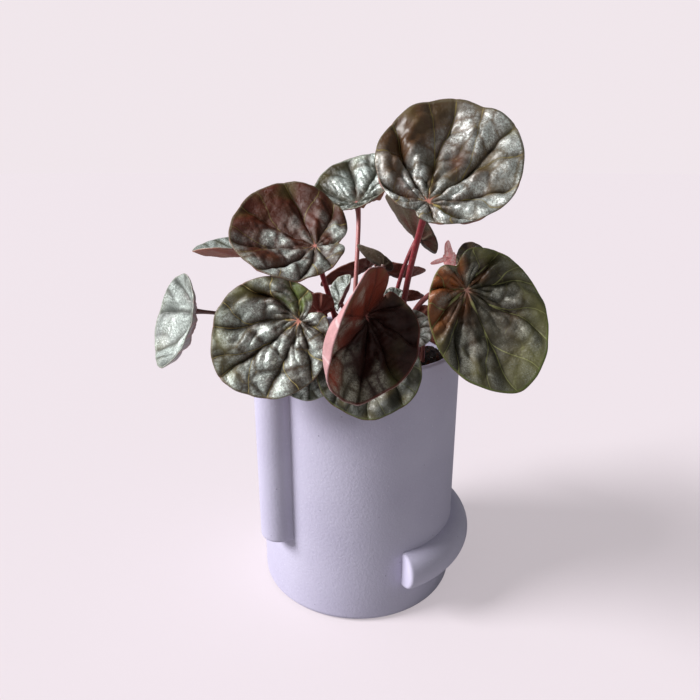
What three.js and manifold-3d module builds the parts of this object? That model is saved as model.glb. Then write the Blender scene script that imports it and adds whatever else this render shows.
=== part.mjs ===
// A peperomia growing in a straight-sided lavender pot.
// Millimetres, +Z up, the origin at the centre of the pot's base; the front looks along -Y.
import * as THREE from 'three';
import { mergeVertices } from 'three/addons/utils/BufferGeometryUtils.js';
import Module from 'manifold-3d';

// ---- The pot: a fired cylinder with two half-round logs laid on its wall.
const POT_RADIUS = 45;
const POT_HEIGHT = 114;
const POT_WALL = 2.6;
const POT_FLOOR = 6;
const LIP_ROUND = 1.1;
const FOOT_ROUND = 3;
const POT_SIDES = 60;
const LOG_RADIUS = 8.4;
const LOG_SIDES = 18;
const LOG_END_ROUND = 1.4;
const BAR_ANGLE = -48.3; // degrees round the pot from its front, to the right
const BAR_BOTTOM = 34.5;
const ROLL_HEIGHT = 24;
const ROLL_START = 25;
const ROLL_END = 155;
const ROLL_STEPS = 16;

// ---- The soil, a crumbly plug that fills the pot to just under its lip.
const SOIL_TOP = 104;
const SOIL_GAP = 0.3;
const SOIL_RINGS = 5;
const SOIL_SPOKES = 30;
const SOIL_BUMP = 1.1;

// ---- The stalks and blades.
const GAP = 0.3;
const STALK_SIDES = 6;
const STALK_STEPS = 8;
const STALK_SUNK = 6;
const STALK_CLEAR = 2;
const HOLE_ROOM = 0.5;
const VEINS = [0, 38, 78, 122, 180]; // degrees from the tip, the same on both sides
const SWEEP = 0.18; // how far a vein bends towards the tip on its way out
const PUFF = 0.068; // height of the quilting between veins, as a share of the width
const PUFF_SINK = 0.35; // how far a vein lies below the mean surface, as a share of the quilting
const PUFF_FADE = 0.75; // how much of the quilting is gone at the rim
const WAVE = 0.6; // height of the rim's waves
const WAVES = 3; // waves round the rim
const NOTCH = 0.3; // depth of the notch between the back lobes, as a share of their reach
const NOTCH_SPREAD = 0.28;
const TIP_SPREAD = 0.22;
const TIP_POINT = 0.04;
const CUP = 0.1; // how deep a blade cups, as a share of its size
const SLIGHT = 0.01; // degrees of curl that keep a flat half from dividing by nothing
const CREASE = 2; // half-width of the soft crease along a folded midrib
const BLADE_THICK = 0.9;
const EDGE_THIN = 0.7; // the rim's thickness as a share of the blade's
const STALK_SEAT = 0.45; // from the end of a stalk to the blade's underside, at its middle

// How finely a blade is divided: spokes between two veins, and rings.
const FINE = { spokes: 4, rings: 5 };
const MIDDLE = { spokes: 3, rings: 4 };
const COARSE = { spokes: 2, rings: 4 };

// Every leaf: where its stalk meets the blade, where its tip lies and the way its upper face
// looks; the blade's width, how far its lobes reach back behind the stalk, how much further it
// reaches on its left side, how deep it cups, the fold and the curl of its two halves in degrees
// [left, right], how far the line they fold on is turned from the midrib, how far it bends over
// the left half behind the stalk, the right half's fold and curl at its rear and between which
// places along that line they change, and how much its tip bows down; then its stalk's root in
// the soil, how steeply it rises before it bends, how long it runs straight out of the blade,
// and its radius.
const LEAVES = [
  { name: '01_top', at: [23, -48, 176], tip: [53, -34, 200], faces: [-0.1, -0.8, 0.6],
    width: 49, back: 9, side: 6, cup: 0.16, grid: FINE,
    root: [17, -14], rise: 30, reach: 26, stalk: 1.2 },
  { name: '02_back_centre', at: [-1, 22, 172], tip: [10, 40, 193], faces: [-0.4, -0.4, 0.9],
    width: 40, back: 7, side: 6, cup: 0.22, grid: FINE,
    root: [-2, 4], rise: 38, reach: 8, stalk: 1 },
  { name: '03_upper_left', at: [-16, -30, 159], tip: [-46, -37, 162], faces: [0.2, -0.6, 0.76],
    width: 45, back: 12, side: -5, cup: 0.2, grid: FINE,
    root: [-8, -8], rise: 24, reach: 14, stalk: 1.1 },
  { name: '04_lower_left', at: [-21, -47, 135], tip: [-49, -50, 115], faces: [-0.12, -0.96, 0.24],
    width: 43, back: 10, side: -1, cup: 0.14, notch: 0.6, grid: FINE,
    root: [-11, -14], rise: 22, reach: 14, stalk: 1.1 },
  { name: '05_far_left', at: [-71, -5, 128], tip: [-85, -13, 105], faces: [-0.76, -0.29, 0.58],
    width: 38, back: 12, side: -6, cup: 0.37, grid: FINE,
    root: [-18, 1], rise: 14, reach: 18, stalk: 0.8 },
  { name: '06_left', at: [-47, 4, 151], tip: [-70, 0, 153], faces: [0, -0.1, 1],
    width: 24, back: 8, fold: [28, 28], grid: MIDDLE,
    root: [-3, -3], rise: 34, reach: 10, stalk: 1 },
  { name: '07_front', at: [2.1, -60, 140.1], tip: [-0.6, -78.8, 116.2], faces: [0.11, -0.85, 0.7],
    width: 52.4, back: 16.8, side: -7.1, fold: [-4.4, -5.1], curl: [9.3, 112], turn: 20, lap: 60,
    rear: { fold: 85, curl: 0, from: -1.8, to: 20.5 }, notch: 0.38, notchAt: 170, notchSpread: 0.6,
    cup: 0, grid: FINE, root: [1, -14], rise: 34, reach: 12, stalk: 1.1 },
  { name: '08_front_low', at: [4, -46, 124], tip: [4, -57, 102], faces: [0, -0.9, 0.45],
    width: 38, back: 8, grid: MIDDLE,
    root: [6, -21], rise: 12, reach: 8, stalk: 0.9 },
  { name: '09_front_left_low', at: [-19, -45, 117], tip: [-18, -48, 105], faces: [0, -0.95, 0.3],
    width: 24, back: 7, cup: 0.05, grid: COARSE,
    root: [-13, -24], rise: 10, reach: 6, stalk: 0.8 },
  { name: '10_right', at: [40, -35, 144], tip: [58, -48, 110], faces: [-0.05, -0.9, 0.45],
    width: 42, back: 13, side: 2, cup: 0.2, notch: 0.3, grid: FINE,
    root: [19, -9], rise: 36, reach: 10, stalk: 1.1 },
  { name: '11_right_back', at: [45, -13, 148], tip: [46, 0, 157], faces: [0, -0.5, 0.86],
    width: 14, back: 6, side: -2, grid: COARSE,
    root: [22, -4], rise: 18, reach: 10, stalk: 0.9 },
  { name: '12_behind_top', at: [25.5, -2, 159], tip: [12, 6, 175], faces: [0.6, 0.35, 0.7],
    width: 26, back: 9, fold: [12, 12], notch: 0.1, grid: MIDDLE,
    root: [13, -1], rise: 24, reach: 6, stalk: 0.9 },
  { name: '13_mid_left_back', at: [11, 2, 147], tip: [2, 4, 153], faces: [-0.3, 0.55, 0.8],
    width: 13, back: 5, fold: [20, 20], grid: COARSE,
    root: [6, 3], rise: 18, reach: 8, stalk: 0.7 },
  { name: '14_mid_right_back', at: [12.5, 14, 142], tip: [30, 16, 142], faces: [0, 0.45, 0.9],
    width: 18, back: 6, fold: [15, 15], bow: 0.3, grid: MIDDLE,
    root: [10, 10], rise: 18, reach: 8, stalk: 0.8 },
  { name: '15_mid_left', at: [4, 26, 142], tip: [-17, 24, 134], faces: [0, 0.45, 0.9],
    width: 20, back: 6, fold: [15, 15], grid: MIDDLE,
    root: [1, 14], rise: 18, reach: 8, stalk: 0.8 },
  { name: '16_young_silver', at: [-8, -6, 132], tip: [-4, -2, 143], faces: [-0.8, -0.55, 0.3],
    width: 14, back: 4, fold: [35, 35], grid: COARSE,
    root: [-4.5, -8.5], rise: 12, reach: 3, stalk: 0.7 },
  { name: '17_right_of_front', at: [18, -32, 127], tip: [27, -36, 125], faces: [0.2, -0.5, 0.8],
    width: 22, back: 6, fold: [10, 10], grid: COARSE,
    root: [14, -22], rise: 10, reach: 6, stalk: 0.8 },
  { name: '18_young_curled', at: [15, -8, 133], tip: [18, -9, 138], faces: [-0.3, -0.7, 0.6],
    width: 12, back: 4, fold: [20, 20], grid: COARSE,
    root: [12, -7], rise: 10, reach: 3, stalk: 0.7 },
  { name: '19_right_low', at: [27, -14, 128], tip: [33, -16, 117], faces: [0.6, 0.6, 0.4],
    width: 18, back: 5, fold: [10, 10], grid: COARSE,
    root: [26, -10], rise: 10, reach: 4, stalk: 0.8 },
  { name: '20_right_mid', at: [19, 6, 131], tip: [29, 8, 132], faces: [0, 0.45, 0.9],
    width: 14, back: 4, fold: [15, 15], grid: COARSE,
    root: [17, 5], rise: 14, reach: 4, stalk: 0.7 },
  { name: '21_left_low', at: [-16, -16, 131], tip: [-23, -18, 135], faces: [-0.2, 0.6, 0.75],
    width: 18, back: 5, fold: [15, 15], grid: COARSE,
    root: [-18, -12], rise: 12, reach: 4, stalk: 0.8 },
  { name: '22_back_left', at: [-37, 26, 120], tip: [-55, 42, 105], faces: [-0.5, 0.5, 0.7],
    width: 29, back: 8, cup: 0.15, grid: MIDDLE,
    root: [-10, 14], rise: 18, reach: 10, stalk: 1 },
  { name: '23_back_right', at: [8, 42, 119], tip: [12, 62, 104], faces: [0.1, 0.65, 0.75],
    width: 29, back: 6, cup: 0.15, grid: MIDDLE,
    root: [5, 20], rise: 16, reach: 10, stalk: 1 },
];

// The pink young shoot behind the right leaf: a crumpled blade and a side tip on one stalk.
const SHOOT = {
  blade: { at: [39.5, 3, 148], tip: [37, 4, 160.5], faces: [-0.2, -1, 0.2], width: 7.5, back: 2,
    side: -1.2, notch: 0, fold: [25, 10], grid: COARSE, root: [29, 0], rise: 26, reach: 8, stalk: 0.9 },
  side: { at: [38.5, 2.4, 150], tip: [31, -2, 148.5], faces: [0.3, -0.9, 0.3], width: 2.8, back: 1.5,
    notch: 0, fold: [10, 10], grid: COARSE },
};

const wasm = await Module();
wasm.setup();

const radians = THREE.MathUtils.degToRad;

function clay(colour, roughness) {
  return new THREE.MeshStandardMaterial({ color: colour, roughness, metalness: 0 });
}

const FIRED_CLAY = clay(0xb9b2cc, 0.8);
const SOIL = clay(0x2b211b, 0.95);
const BRONZE_LEAF = clay(0x4a4a3c, 0.4);
const RED_STALK = clay(0x9c3a44, 0.5);
const PINK_SHOOT = clay(0xd08a90, 0.5);

// A closed geometry as a solid that can be joined and cut.
function toSolid(geometry) {
  const bare = new THREE.BufferGeometry();
  const source = geometry.index ? geometry.toNonIndexed() : geometry;
  bare.setAttribute('position', source.getAttribute('position'));
  const merged = mergeVertices(bare, 1e-4);
  const mesh = new wasm.Mesh({
    numProp: 3,
    vertProperties: new Float32Array(merged.getAttribute('position').array),
    triVerts: new Uint32Array(merged.index.array),
  });
  return new wasm.Manifold(mesh);
}

function toGeometry(solid) {
  const mesh = solid.getMesh();
  const geometry = new THREE.BufferGeometry();
  geometry.setAttribute('position', new THREE.BufferAttribute(new Float32Array(mesh.vertProperties), 3));
  geometry.setIndex(new THREE.BufferAttribute(new Uint32Array(mesh.triVerts), 1));
  return geometry;
}

function named(name, geometry, material) {
  const mesh = new THREE.Mesh(geometry, material);
  mesh.name = name;
  return mesh;
}

// ---- Pot

// A turned solid about +Z from a profile of [radius, height] points.
function turned(profile, sides) {
  const geometry = new THREE.LatheGeometry(profile.map(([r, z]) => new THREE.Vector2(r, z)), sides);
  geometry.rotateX(Math.PI / 2);
  return toSolid(geometry);
}

// Points of a quarter circle round a corner, from one angle to the other in degrees.
function corner(r, z, radius, from, to, steps = 3) {
  const points = [];
  for (let i = 0; i <= steps; i += 1) {
    const angle = radians(from + ((to - from) * i) / steps);
    points.push([r + radius * Math.cos(angle), z + radius * Math.sin(angle)]);
  }
  return points;
}

function circle(radius, sides) {
  const shape = new THREE.Shape();
  for (let i = 0; i < sides; i += 1) {
    const angle = (2 * Math.PI * i) / sides;
    const point = [radius * Math.cos(angle), radius * Math.sin(angle)];
    if (i === 0) shape.moveTo(...point);
    else shape.lineTo(...point);
  }
  shape.closePath();
  return shape;
}

// A place on the pot's wall, by its angle round from the front and its height.
function onWall(degrees, z) {
  const angle = radians(degrees);
  return new THREE.Vector3(POT_RADIUS * Math.sin(angle), -POT_RADIUS * Math.cos(angle), z);
}

class WallArc extends THREE.Curve {
  getPoint(t, target = new THREE.Vector3()) {
    return target.copy(onWall(ROLL_START + (ROLL_END - ROLL_START) * t, ROLL_HEIGHT));
  }
}

function bar() {
  const top = POT_HEIGHT - LIP_ROUND / 2;
  const geometry = new THREE.ExtrudeGeometry(circle(LOG_RADIUS, LOG_SIDES), {
    depth: top - BAR_BOTTOM - 2 * LOG_END_ROUND,
    bevelEnabled: true,
    bevelThickness: LOG_END_ROUND,
    bevelSize: LOG_END_ROUND,
    bevelOffset: -LOG_END_ROUND,
    bevelSegments: 2,
  });
  const place = onWall(BAR_ANGLE, BAR_BOTTOM + LOG_END_ROUND);
  geometry.translate(place.x, place.y, place.z);
  return toSolid(geometry);
}

function roll() {
  const geometry = new THREE.ExtrudeGeometry(circle(LOG_RADIUS, LOG_SIDES), {
    steps: ROLL_STEPS,
    bevelEnabled: false,
    extrudePath: new WallArc(),
  });
  return toSolid(geometry);
}

function pot() {
  const inner = POT_RADIUS - POT_WALL;
  const outside = turned([
    [0, 0],
    ...corner(POT_RADIUS - FOOT_ROUND, FOOT_ROUND, FOOT_ROUND, -90, 0),
    ...corner(POT_RADIUS - LIP_ROUND, POT_HEIGHT - LIP_ROUND, LIP_ROUND, 0, 90),
    [0, POT_HEIGHT],
  ], POT_SIDES);
  const cavity = turned([
    [0, POT_FLOOR],
    ...corner(inner - FOOT_ROUND, POT_FLOOR + FOOT_ROUND, FOOT_ROUND, -90, 0),
    ...corner(inner + LIP_ROUND, POT_HEIGHT - LIP_ROUND, LIP_ROUND, 180, 90),
    [inner + LIP_ROUND, POT_HEIGHT + LIP_ROUND],
    [0, POT_HEIGHT + LIP_ROUND],
  ], POT_SIDES);
  return toGeometry(outside.add(bar()).add(roll()).subtract(cavity));
}

// ---- Soil

// Crumbs and hollows of the soil's surface above its mean level.
function soilHeight(x, y) {
  const coarse = Math.sin(0.31 * x + 1.3) * Math.cos(0.27 * y - 0.4);
  const fine = Math.sin(0.83 * x - 0.61 * y) * Math.cos(0.71 * x + 0.93 * y + 2.1);
  return SOIL_BUMP * (0.6 * coarse + 0.5 * fine);
}

// A closed body from rings of points round a middle point above and another below.
function ringed(topMiddle, rings, bottomMiddle) {
  const count = rings[0].length;
  const points = [topMiddle, ...rings.flat(), bottomMiddle];
  const last = points.length - 1;
  const index = [];
  const at = (ring, spoke) => 1 + ring * count + (spoke % count);
  for (let spoke = 0; spoke < count; spoke += 1) {
    index.push(0, at(0, spoke), at(0, spoke + 1));
    for (let ring = 0; ring < rings.length - 1; ring += 1) {
      const [a, b] = [at(ring, spoke), at(ring, spoke + 1)];
      const [c, d] = [at(ring + 1, spoke), at(ring + 1, spoke + 1)];
      index.push(a, c, d, a, d, b);
    }
    index.push(last, at(rings.length - 1, spoke + 1), at(rings.length - 1, spoke));
  }
  const geometry = new THREE.BufferGeometry();
  const flat = new Float32Array(points.flatMap((p) => [p.x, p.y, p.z]));
  geometry.setAttribute('position', new THREE.BufferAttribute(flat, 3));
  geometry.setIndex(index);
  return geometry;
}

function soil() {
  const radius = POT_RADIUS - POT_WALL - SOIL_GAP;
  const bottom = POT_FLOOR + SOIL_GAP;
  const rings = [];
  const ringAt = (r, height) => Array.from({ length: SOIL_SPOKES }, (_, i) => {
    const angle = (2 * Math.PI * i) / SOIL_SPOKES;
    const [x, y] = [r * Math.cos(angle), r * Math.sin(angle)];
    return new THREE.Vector3(x, y, height(x, y));
  });
  for (let i = 1; i <= SOIL_RINGS; i += 1) {
    rings.push(ringAt((radius * i) / SOIL_RINGS, (x, y) => SOIL_TOP + soilHeight(x, y)));
  }
  rings.push(ringAt(radius, () => bottom + FOOT_ROUND));
  rings.push(ringAt(radius - FOOT_ROUND, () => bottom));
  const top = new THREE.Vector3(0, 0, SOIL_TOP + soilHeight(0, 0));
  let plug = toSolid(ringed(top, rings, new THREE.Vector3(0, 0, bottom)));
  for (const leaf of [...LEAVES, SHOOT.blade]) {
    const hole = new THREE.ExtrudeGeometry(circle(leaf.stalk + HOLE_ROOM, STALK_SIDES + 1), {
      depth: STALK_SUNK + GAP + 2 * SOIL_BUMP,
      bevelEnabled: false,
    });
    hole.translate(...leaf.root, SOIL_TOP - STALK_SUNK - GAP);
    plug = plug.subtract(toSolid(hole));
  }
  return toGeometry(plug);
}

// ---- Blades

// The leaf's own directions: along its midrib, to its left and out of its upper face.
function leafAxes(leaf) {
  const at = new THREE.Vector3(...leaf.at);
  const along = new THREE.Vector3(...leaf.tip).sub(at);
  const length = along.length();
  along.normalize();
  const out = new THREE.Vector3(...leaf.faces);
  out.addScaledVector(along, -out.dot(along)).normalize();
  const left = new THREE.Vector3().crossVectors(out, along);
  return { at, along, left, out, length };
}

// The same direction as an angle between -180 and 180 degrees, in radians.
function wrapped(angle) {
  return THREE.MathUtils.euclideanModulo(angle + Math.PI, 2 * Math.PI) - Math.PI;
}

// How far the blade reaches from its stalk in a direction, by its angle from the tip: an oval
// with the stalk off its centre, a small point at the tip and a notch between the back lobes.
function reachAt(leaf, length, angle) {
  const a = (length + leaf.back) / 2;
  const b = leaf.width / 2;
  const cx = (length - leaf.back) / 2;
  const cy = leaf.side ?? 0;
  const [c, s] = [Math.cos(angle), Math.sin(angle)];
  const p = (c / a) ** 2 + (s / b) ** 2;
  const q = (-2 * (cx * c)) / a ** 2 - (2 * (cy * s)) / b ** 2;
  const k = (cx / a) ** 2 + (cy / b) ** 2 - 1;
  const oval = (-q + Math.sqrt(q * q - 4 * p * k)) / (2 * p);
  const fromNotch = wrapped(angle - radians(leaf.notchAt ?? 180)) / (leaf.notchSpread ?? NOTCH_SPREAD);
  const notch = 1 - (leaf.notch ?? NOTCH) * Math.exp(-(fromNotch ** 2));
  return oval * notch * (1 + TIP_POINT * Math.exp(-((angle / TIP_SPREAD) ** 2)));
}

// Quilting: each stretch between two veins is puffed up, least at the stalk and at the rim.
function quilting(leaf, spoke, s) {
  const angle = Math.abs((spoke * 180) / Math.PI);
  const next = Math.max(1, VEINS.findIndex((vein) => vein >= angle - 1e-9));
  const across = (angle - VEINS[next - 1]) / (VEINS[next] - VEINS[next - 1]);
  const swell = Math.sin(Math.PI * Math.min(1, Math.max(0, across))) - PUFF_SINK;
  return PUFF * leaf.width * swell * s ** 0.7 * (1 - PUFF_FADE * s ** 3);
}

// The fold of one half, in radians, and its curl, in radians for each millimetre.
function foldAt(leaf, half, foldwise) {
  let fold = (leaf.fold ?? [0, 0])[half];
  let curl = (leaf.curl ?? [0, 0])[half];
  if (half === 1 && leaf.rear) {
    const share = 1 - THREE.MathUtils.smoothstep(foldwise, leaf.rear.from, leaf.rear.to);
    fold += (leaf.rear.fold - fold) * share;
    curl += (leaf.rear.curl - curl) * share;
  }
  return [radians(fold), radians(curl + SLIGHT) / (leaf.width / 2)];
}

// A point of the blade's middle surface on one spoke, s = 0 at the stalk and 1 at the rim.
function bladePoint(leaf, spoke, s) {
  const { at, along, left, out, length } = leafAxes(leaf);
  const bend = SWEEP * Math.sin(spoke);
  const radius = s * reachAt(leaf, length, spoke - bend);
  const course = spoke - bend * s;
  const x = radius * Math.cos(course);
  const y = radius * Math.sin(course);
  const turn = radians(leaf.turn ?? 0);
  const lap = radians(leaf.lap ?? 0);
  const from = wrapped(course - turn);
  const half = from > 0 && from < Math.PI - lap ? 0 : 1;
  const sign = half === 0 ? 1 : -1;
  const widened = 1 - (sign * lap) / Math.PI;
  const aside = THREE.MathUtils.euclideanModulo(sign * from, 2 * Math.PI) / widened;
  const foldwise = radius * Math.cos(aside);
  const away = radius * Math.abs(Math.sin(aside));
  const [fold, curl] = foldAt(leaf, half, foldwise);
  const flat = Math.sin(curl * away) / curl;
  const raised = (1 - Math.cos(curl * away)) / curl;
  const soft = away > 1e-6 ? (Math.hypot(away, CREASE) - CREASE) / away : 0;
  const sideways = flat * Math.cos(fold) - raised * Math.sin(fold);
  const size = (length + leaf.back + leaf.width) / 4;
  const cup = leaf.cup ?? CUP;
  const bow = leaf.bow ?? 0;
  const height = soft * flat * Math.sin(fold) + raised * Math.cos(fold)
    + (cup * (x * x + y * y - length * x)) / size
    + bow * ((x * Math.abs(x)) / length - x)
    + WAVE * s ** 3 * Math.sin(WAVES * spoke)
    + quilting(leaf, spoke, s);
  const spread = Math.hypot(foldwise, sideways);
  const direction = turn + sign * widened * Math.atan2(sideways, foldwise);
  return at.clone().addScaledVector(out, height)
    .addScaledVector(along, spread * Math.cos(direction))
    .addScaledVector(left, spread * Math.sin(direction));
}

// The upper face's direction at a point of the blade, from its neighbours.
function bladeNormal(leaf, spoke, s) {
  const step = 0.02;
  if (s === 0) {
    const near = [0, 1, 2, 3].map((i) => bladePoint(leaf, (i * Math.PI) / 2 - Math.PI / 4, 0.15));
    const one = near[2].clone().sub(near[0]);
    const two = near[3].clone().sub(near[1]);
    return one.cross(two).normalize();
  }
  const outwards = bladePoint(leaf, spoke, s).sub(bladePoint(leaf, spoke, s - step));
  const round = bladePoint(leaf, spoke + step, s).sub(bladePoint(leaf, spoke - step, s));
  return outwards.cross(round).normalize();
}

function spokeAngles(grid) {
  const oneSide = [];
  for (let vein = 1; vein < VEINS.length; vein += 1) {
    for (let i = 0; i < grid.spokes; i += 1) {
      oneSide.push(VEINS[vein - 1] + ((VEINS[vein] - VEINS[vein - 1]) * i) / grid.spokes);
    }
  }
  const otherSide = oneSide.slice(1).reverse().map((angle) => -angle);
  return [...oneSide, 180, ...otherSide].map(radians);
}

function blade(leaf) {
  const angles = spokeAngles(leaf.grid);
  const middle = bladePoint(leaf, 0, 0);
  const outOf = bladeNormal(leaf, 0, 0);
  const half = BLADE_THICK / 2;
  const upper = [];
  const lower = [];
  for (let ring = 1; ring <= leaf.grid.rings; ring += 1) {
    const s = ring / leaf.grid.rings;
    const thick = half * (1 - (1 - EDGE_THIN) * s ** 4);
    const [above, below] = [[], []];
    for (const spoke of angles) {
      const point = bladePoint(leaf, spoke, s);
      const normal = bladeNormal(leaf, spoke, s);
      above.push(point.clone().addScaledVector(normal, thick));
      below.push(point.clone().addScaledVector(normal, -thick));
    }
    upper.push(above);
    lower.unshift(below);
  }
  const top = middle.clone().addScaledVector(outOf, half);
  const bottom = middle.clone().addScaledVector(outOf, -half);
  return ringed(top, [...upper, ...lower], bottom);
}

// ---- Stalks

// A stalk from its hole in the soil to the blade's underside, which it stops short of by a gap,
// or runs into where the gap is negative.
function stalk(leaf, gap = STALK_SEAT) {
  const outOf = bladeNormal(leaf, 0, 0);
  const end = bladePoint(leaf, 0, 0).addScaledVector(outOf, -BLADE_THICK / 2 - gap);
  const foot = new THREE.Vector3(...leaf.root, SOIL_TOP - STALK_SUNK);
  const start = new THREE.Vector3(...leaf.root, SOIL_TOP + STALK_CLEAR);
  const path = new THREE.CurvePath();
  path.add(new THREE.LineCurve3(foot, start));
  path.add(new THREE.CubicBezierCurve3(
    start,
    start.clone().add(new THREE.Vector3(0, 0, leaf.rise)),
    end.clone().addScaledVector(outOf, -leaf.reach),
    end,
  ));
  return toSolid(new THREE.ExtrudeGeometry(circle(leaf.stalk, STALK_SIDES), {
    steps: STALK_STEPS,
    bevelEnabled: false,
    extrudePath: path,
  }));
}

// The shoot's two blades and its stalk are one colour and one body.
function shoot() {
  const joined = toSolid(blade(SHOOT.blade)).add(toSolid(blade(SHOOT.side)));
  return toGeometry(joined.add(stalk(SHOOT.blade, -BLADE_THICK / 2)));
}

const plant = new THREE.Group();
plant.add(named('pot', pot(), FIRED_CLAY));
plant.add(named('soil', soil(), SOIL));
for (const leaf of LEAVES) {
  plant.add(named(`blade_${leaf.name}`, blade(leaf), BRONZE_LEAF));
  plant.add(named(`stalk_${leaf.name}`, toGeometry(stalk(leaf)), RED_STALK));
}
plant.add(named('young_shoot', shoot(), PINK_SHOOT));

export default plant;
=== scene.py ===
"""A peperomia in a lavender pot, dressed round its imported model.

Sizes in the dataclasses are millimetres in the model's frame: +Z up, the origin at the centre of
the pot's base, the front of the plant towards -Y. Meshes are made in metres.
"""

from __future__ import annotations

import logging
import math
from dataclasses import dataclass, replace
from enum import Enum

import bpy
import numpy as np
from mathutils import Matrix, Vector


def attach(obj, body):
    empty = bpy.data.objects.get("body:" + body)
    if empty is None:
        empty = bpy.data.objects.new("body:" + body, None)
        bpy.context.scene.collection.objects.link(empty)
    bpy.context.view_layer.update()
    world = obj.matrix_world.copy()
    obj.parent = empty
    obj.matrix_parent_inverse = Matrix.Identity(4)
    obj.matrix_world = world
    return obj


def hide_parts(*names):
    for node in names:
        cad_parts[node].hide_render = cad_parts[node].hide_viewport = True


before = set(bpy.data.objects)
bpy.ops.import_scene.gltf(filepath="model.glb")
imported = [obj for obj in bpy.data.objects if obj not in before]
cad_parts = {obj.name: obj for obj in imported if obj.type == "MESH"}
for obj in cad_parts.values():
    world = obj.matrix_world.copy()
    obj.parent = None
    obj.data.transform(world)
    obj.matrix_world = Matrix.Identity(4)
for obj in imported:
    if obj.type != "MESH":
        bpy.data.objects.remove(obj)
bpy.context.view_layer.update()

LOG = logging.getLogger("peperomia")
MM = 0.001
SQUARE_CM = 1e4  # how many there are in a square metre
Colour = tuple[float, float, float]
Place = tuple[float, float, float]
Feed = "bpy.types.NodeSocket | float | tuple[float, ...] | str | bpy.types.Material"


# ---- Wiring of node trees


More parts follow.
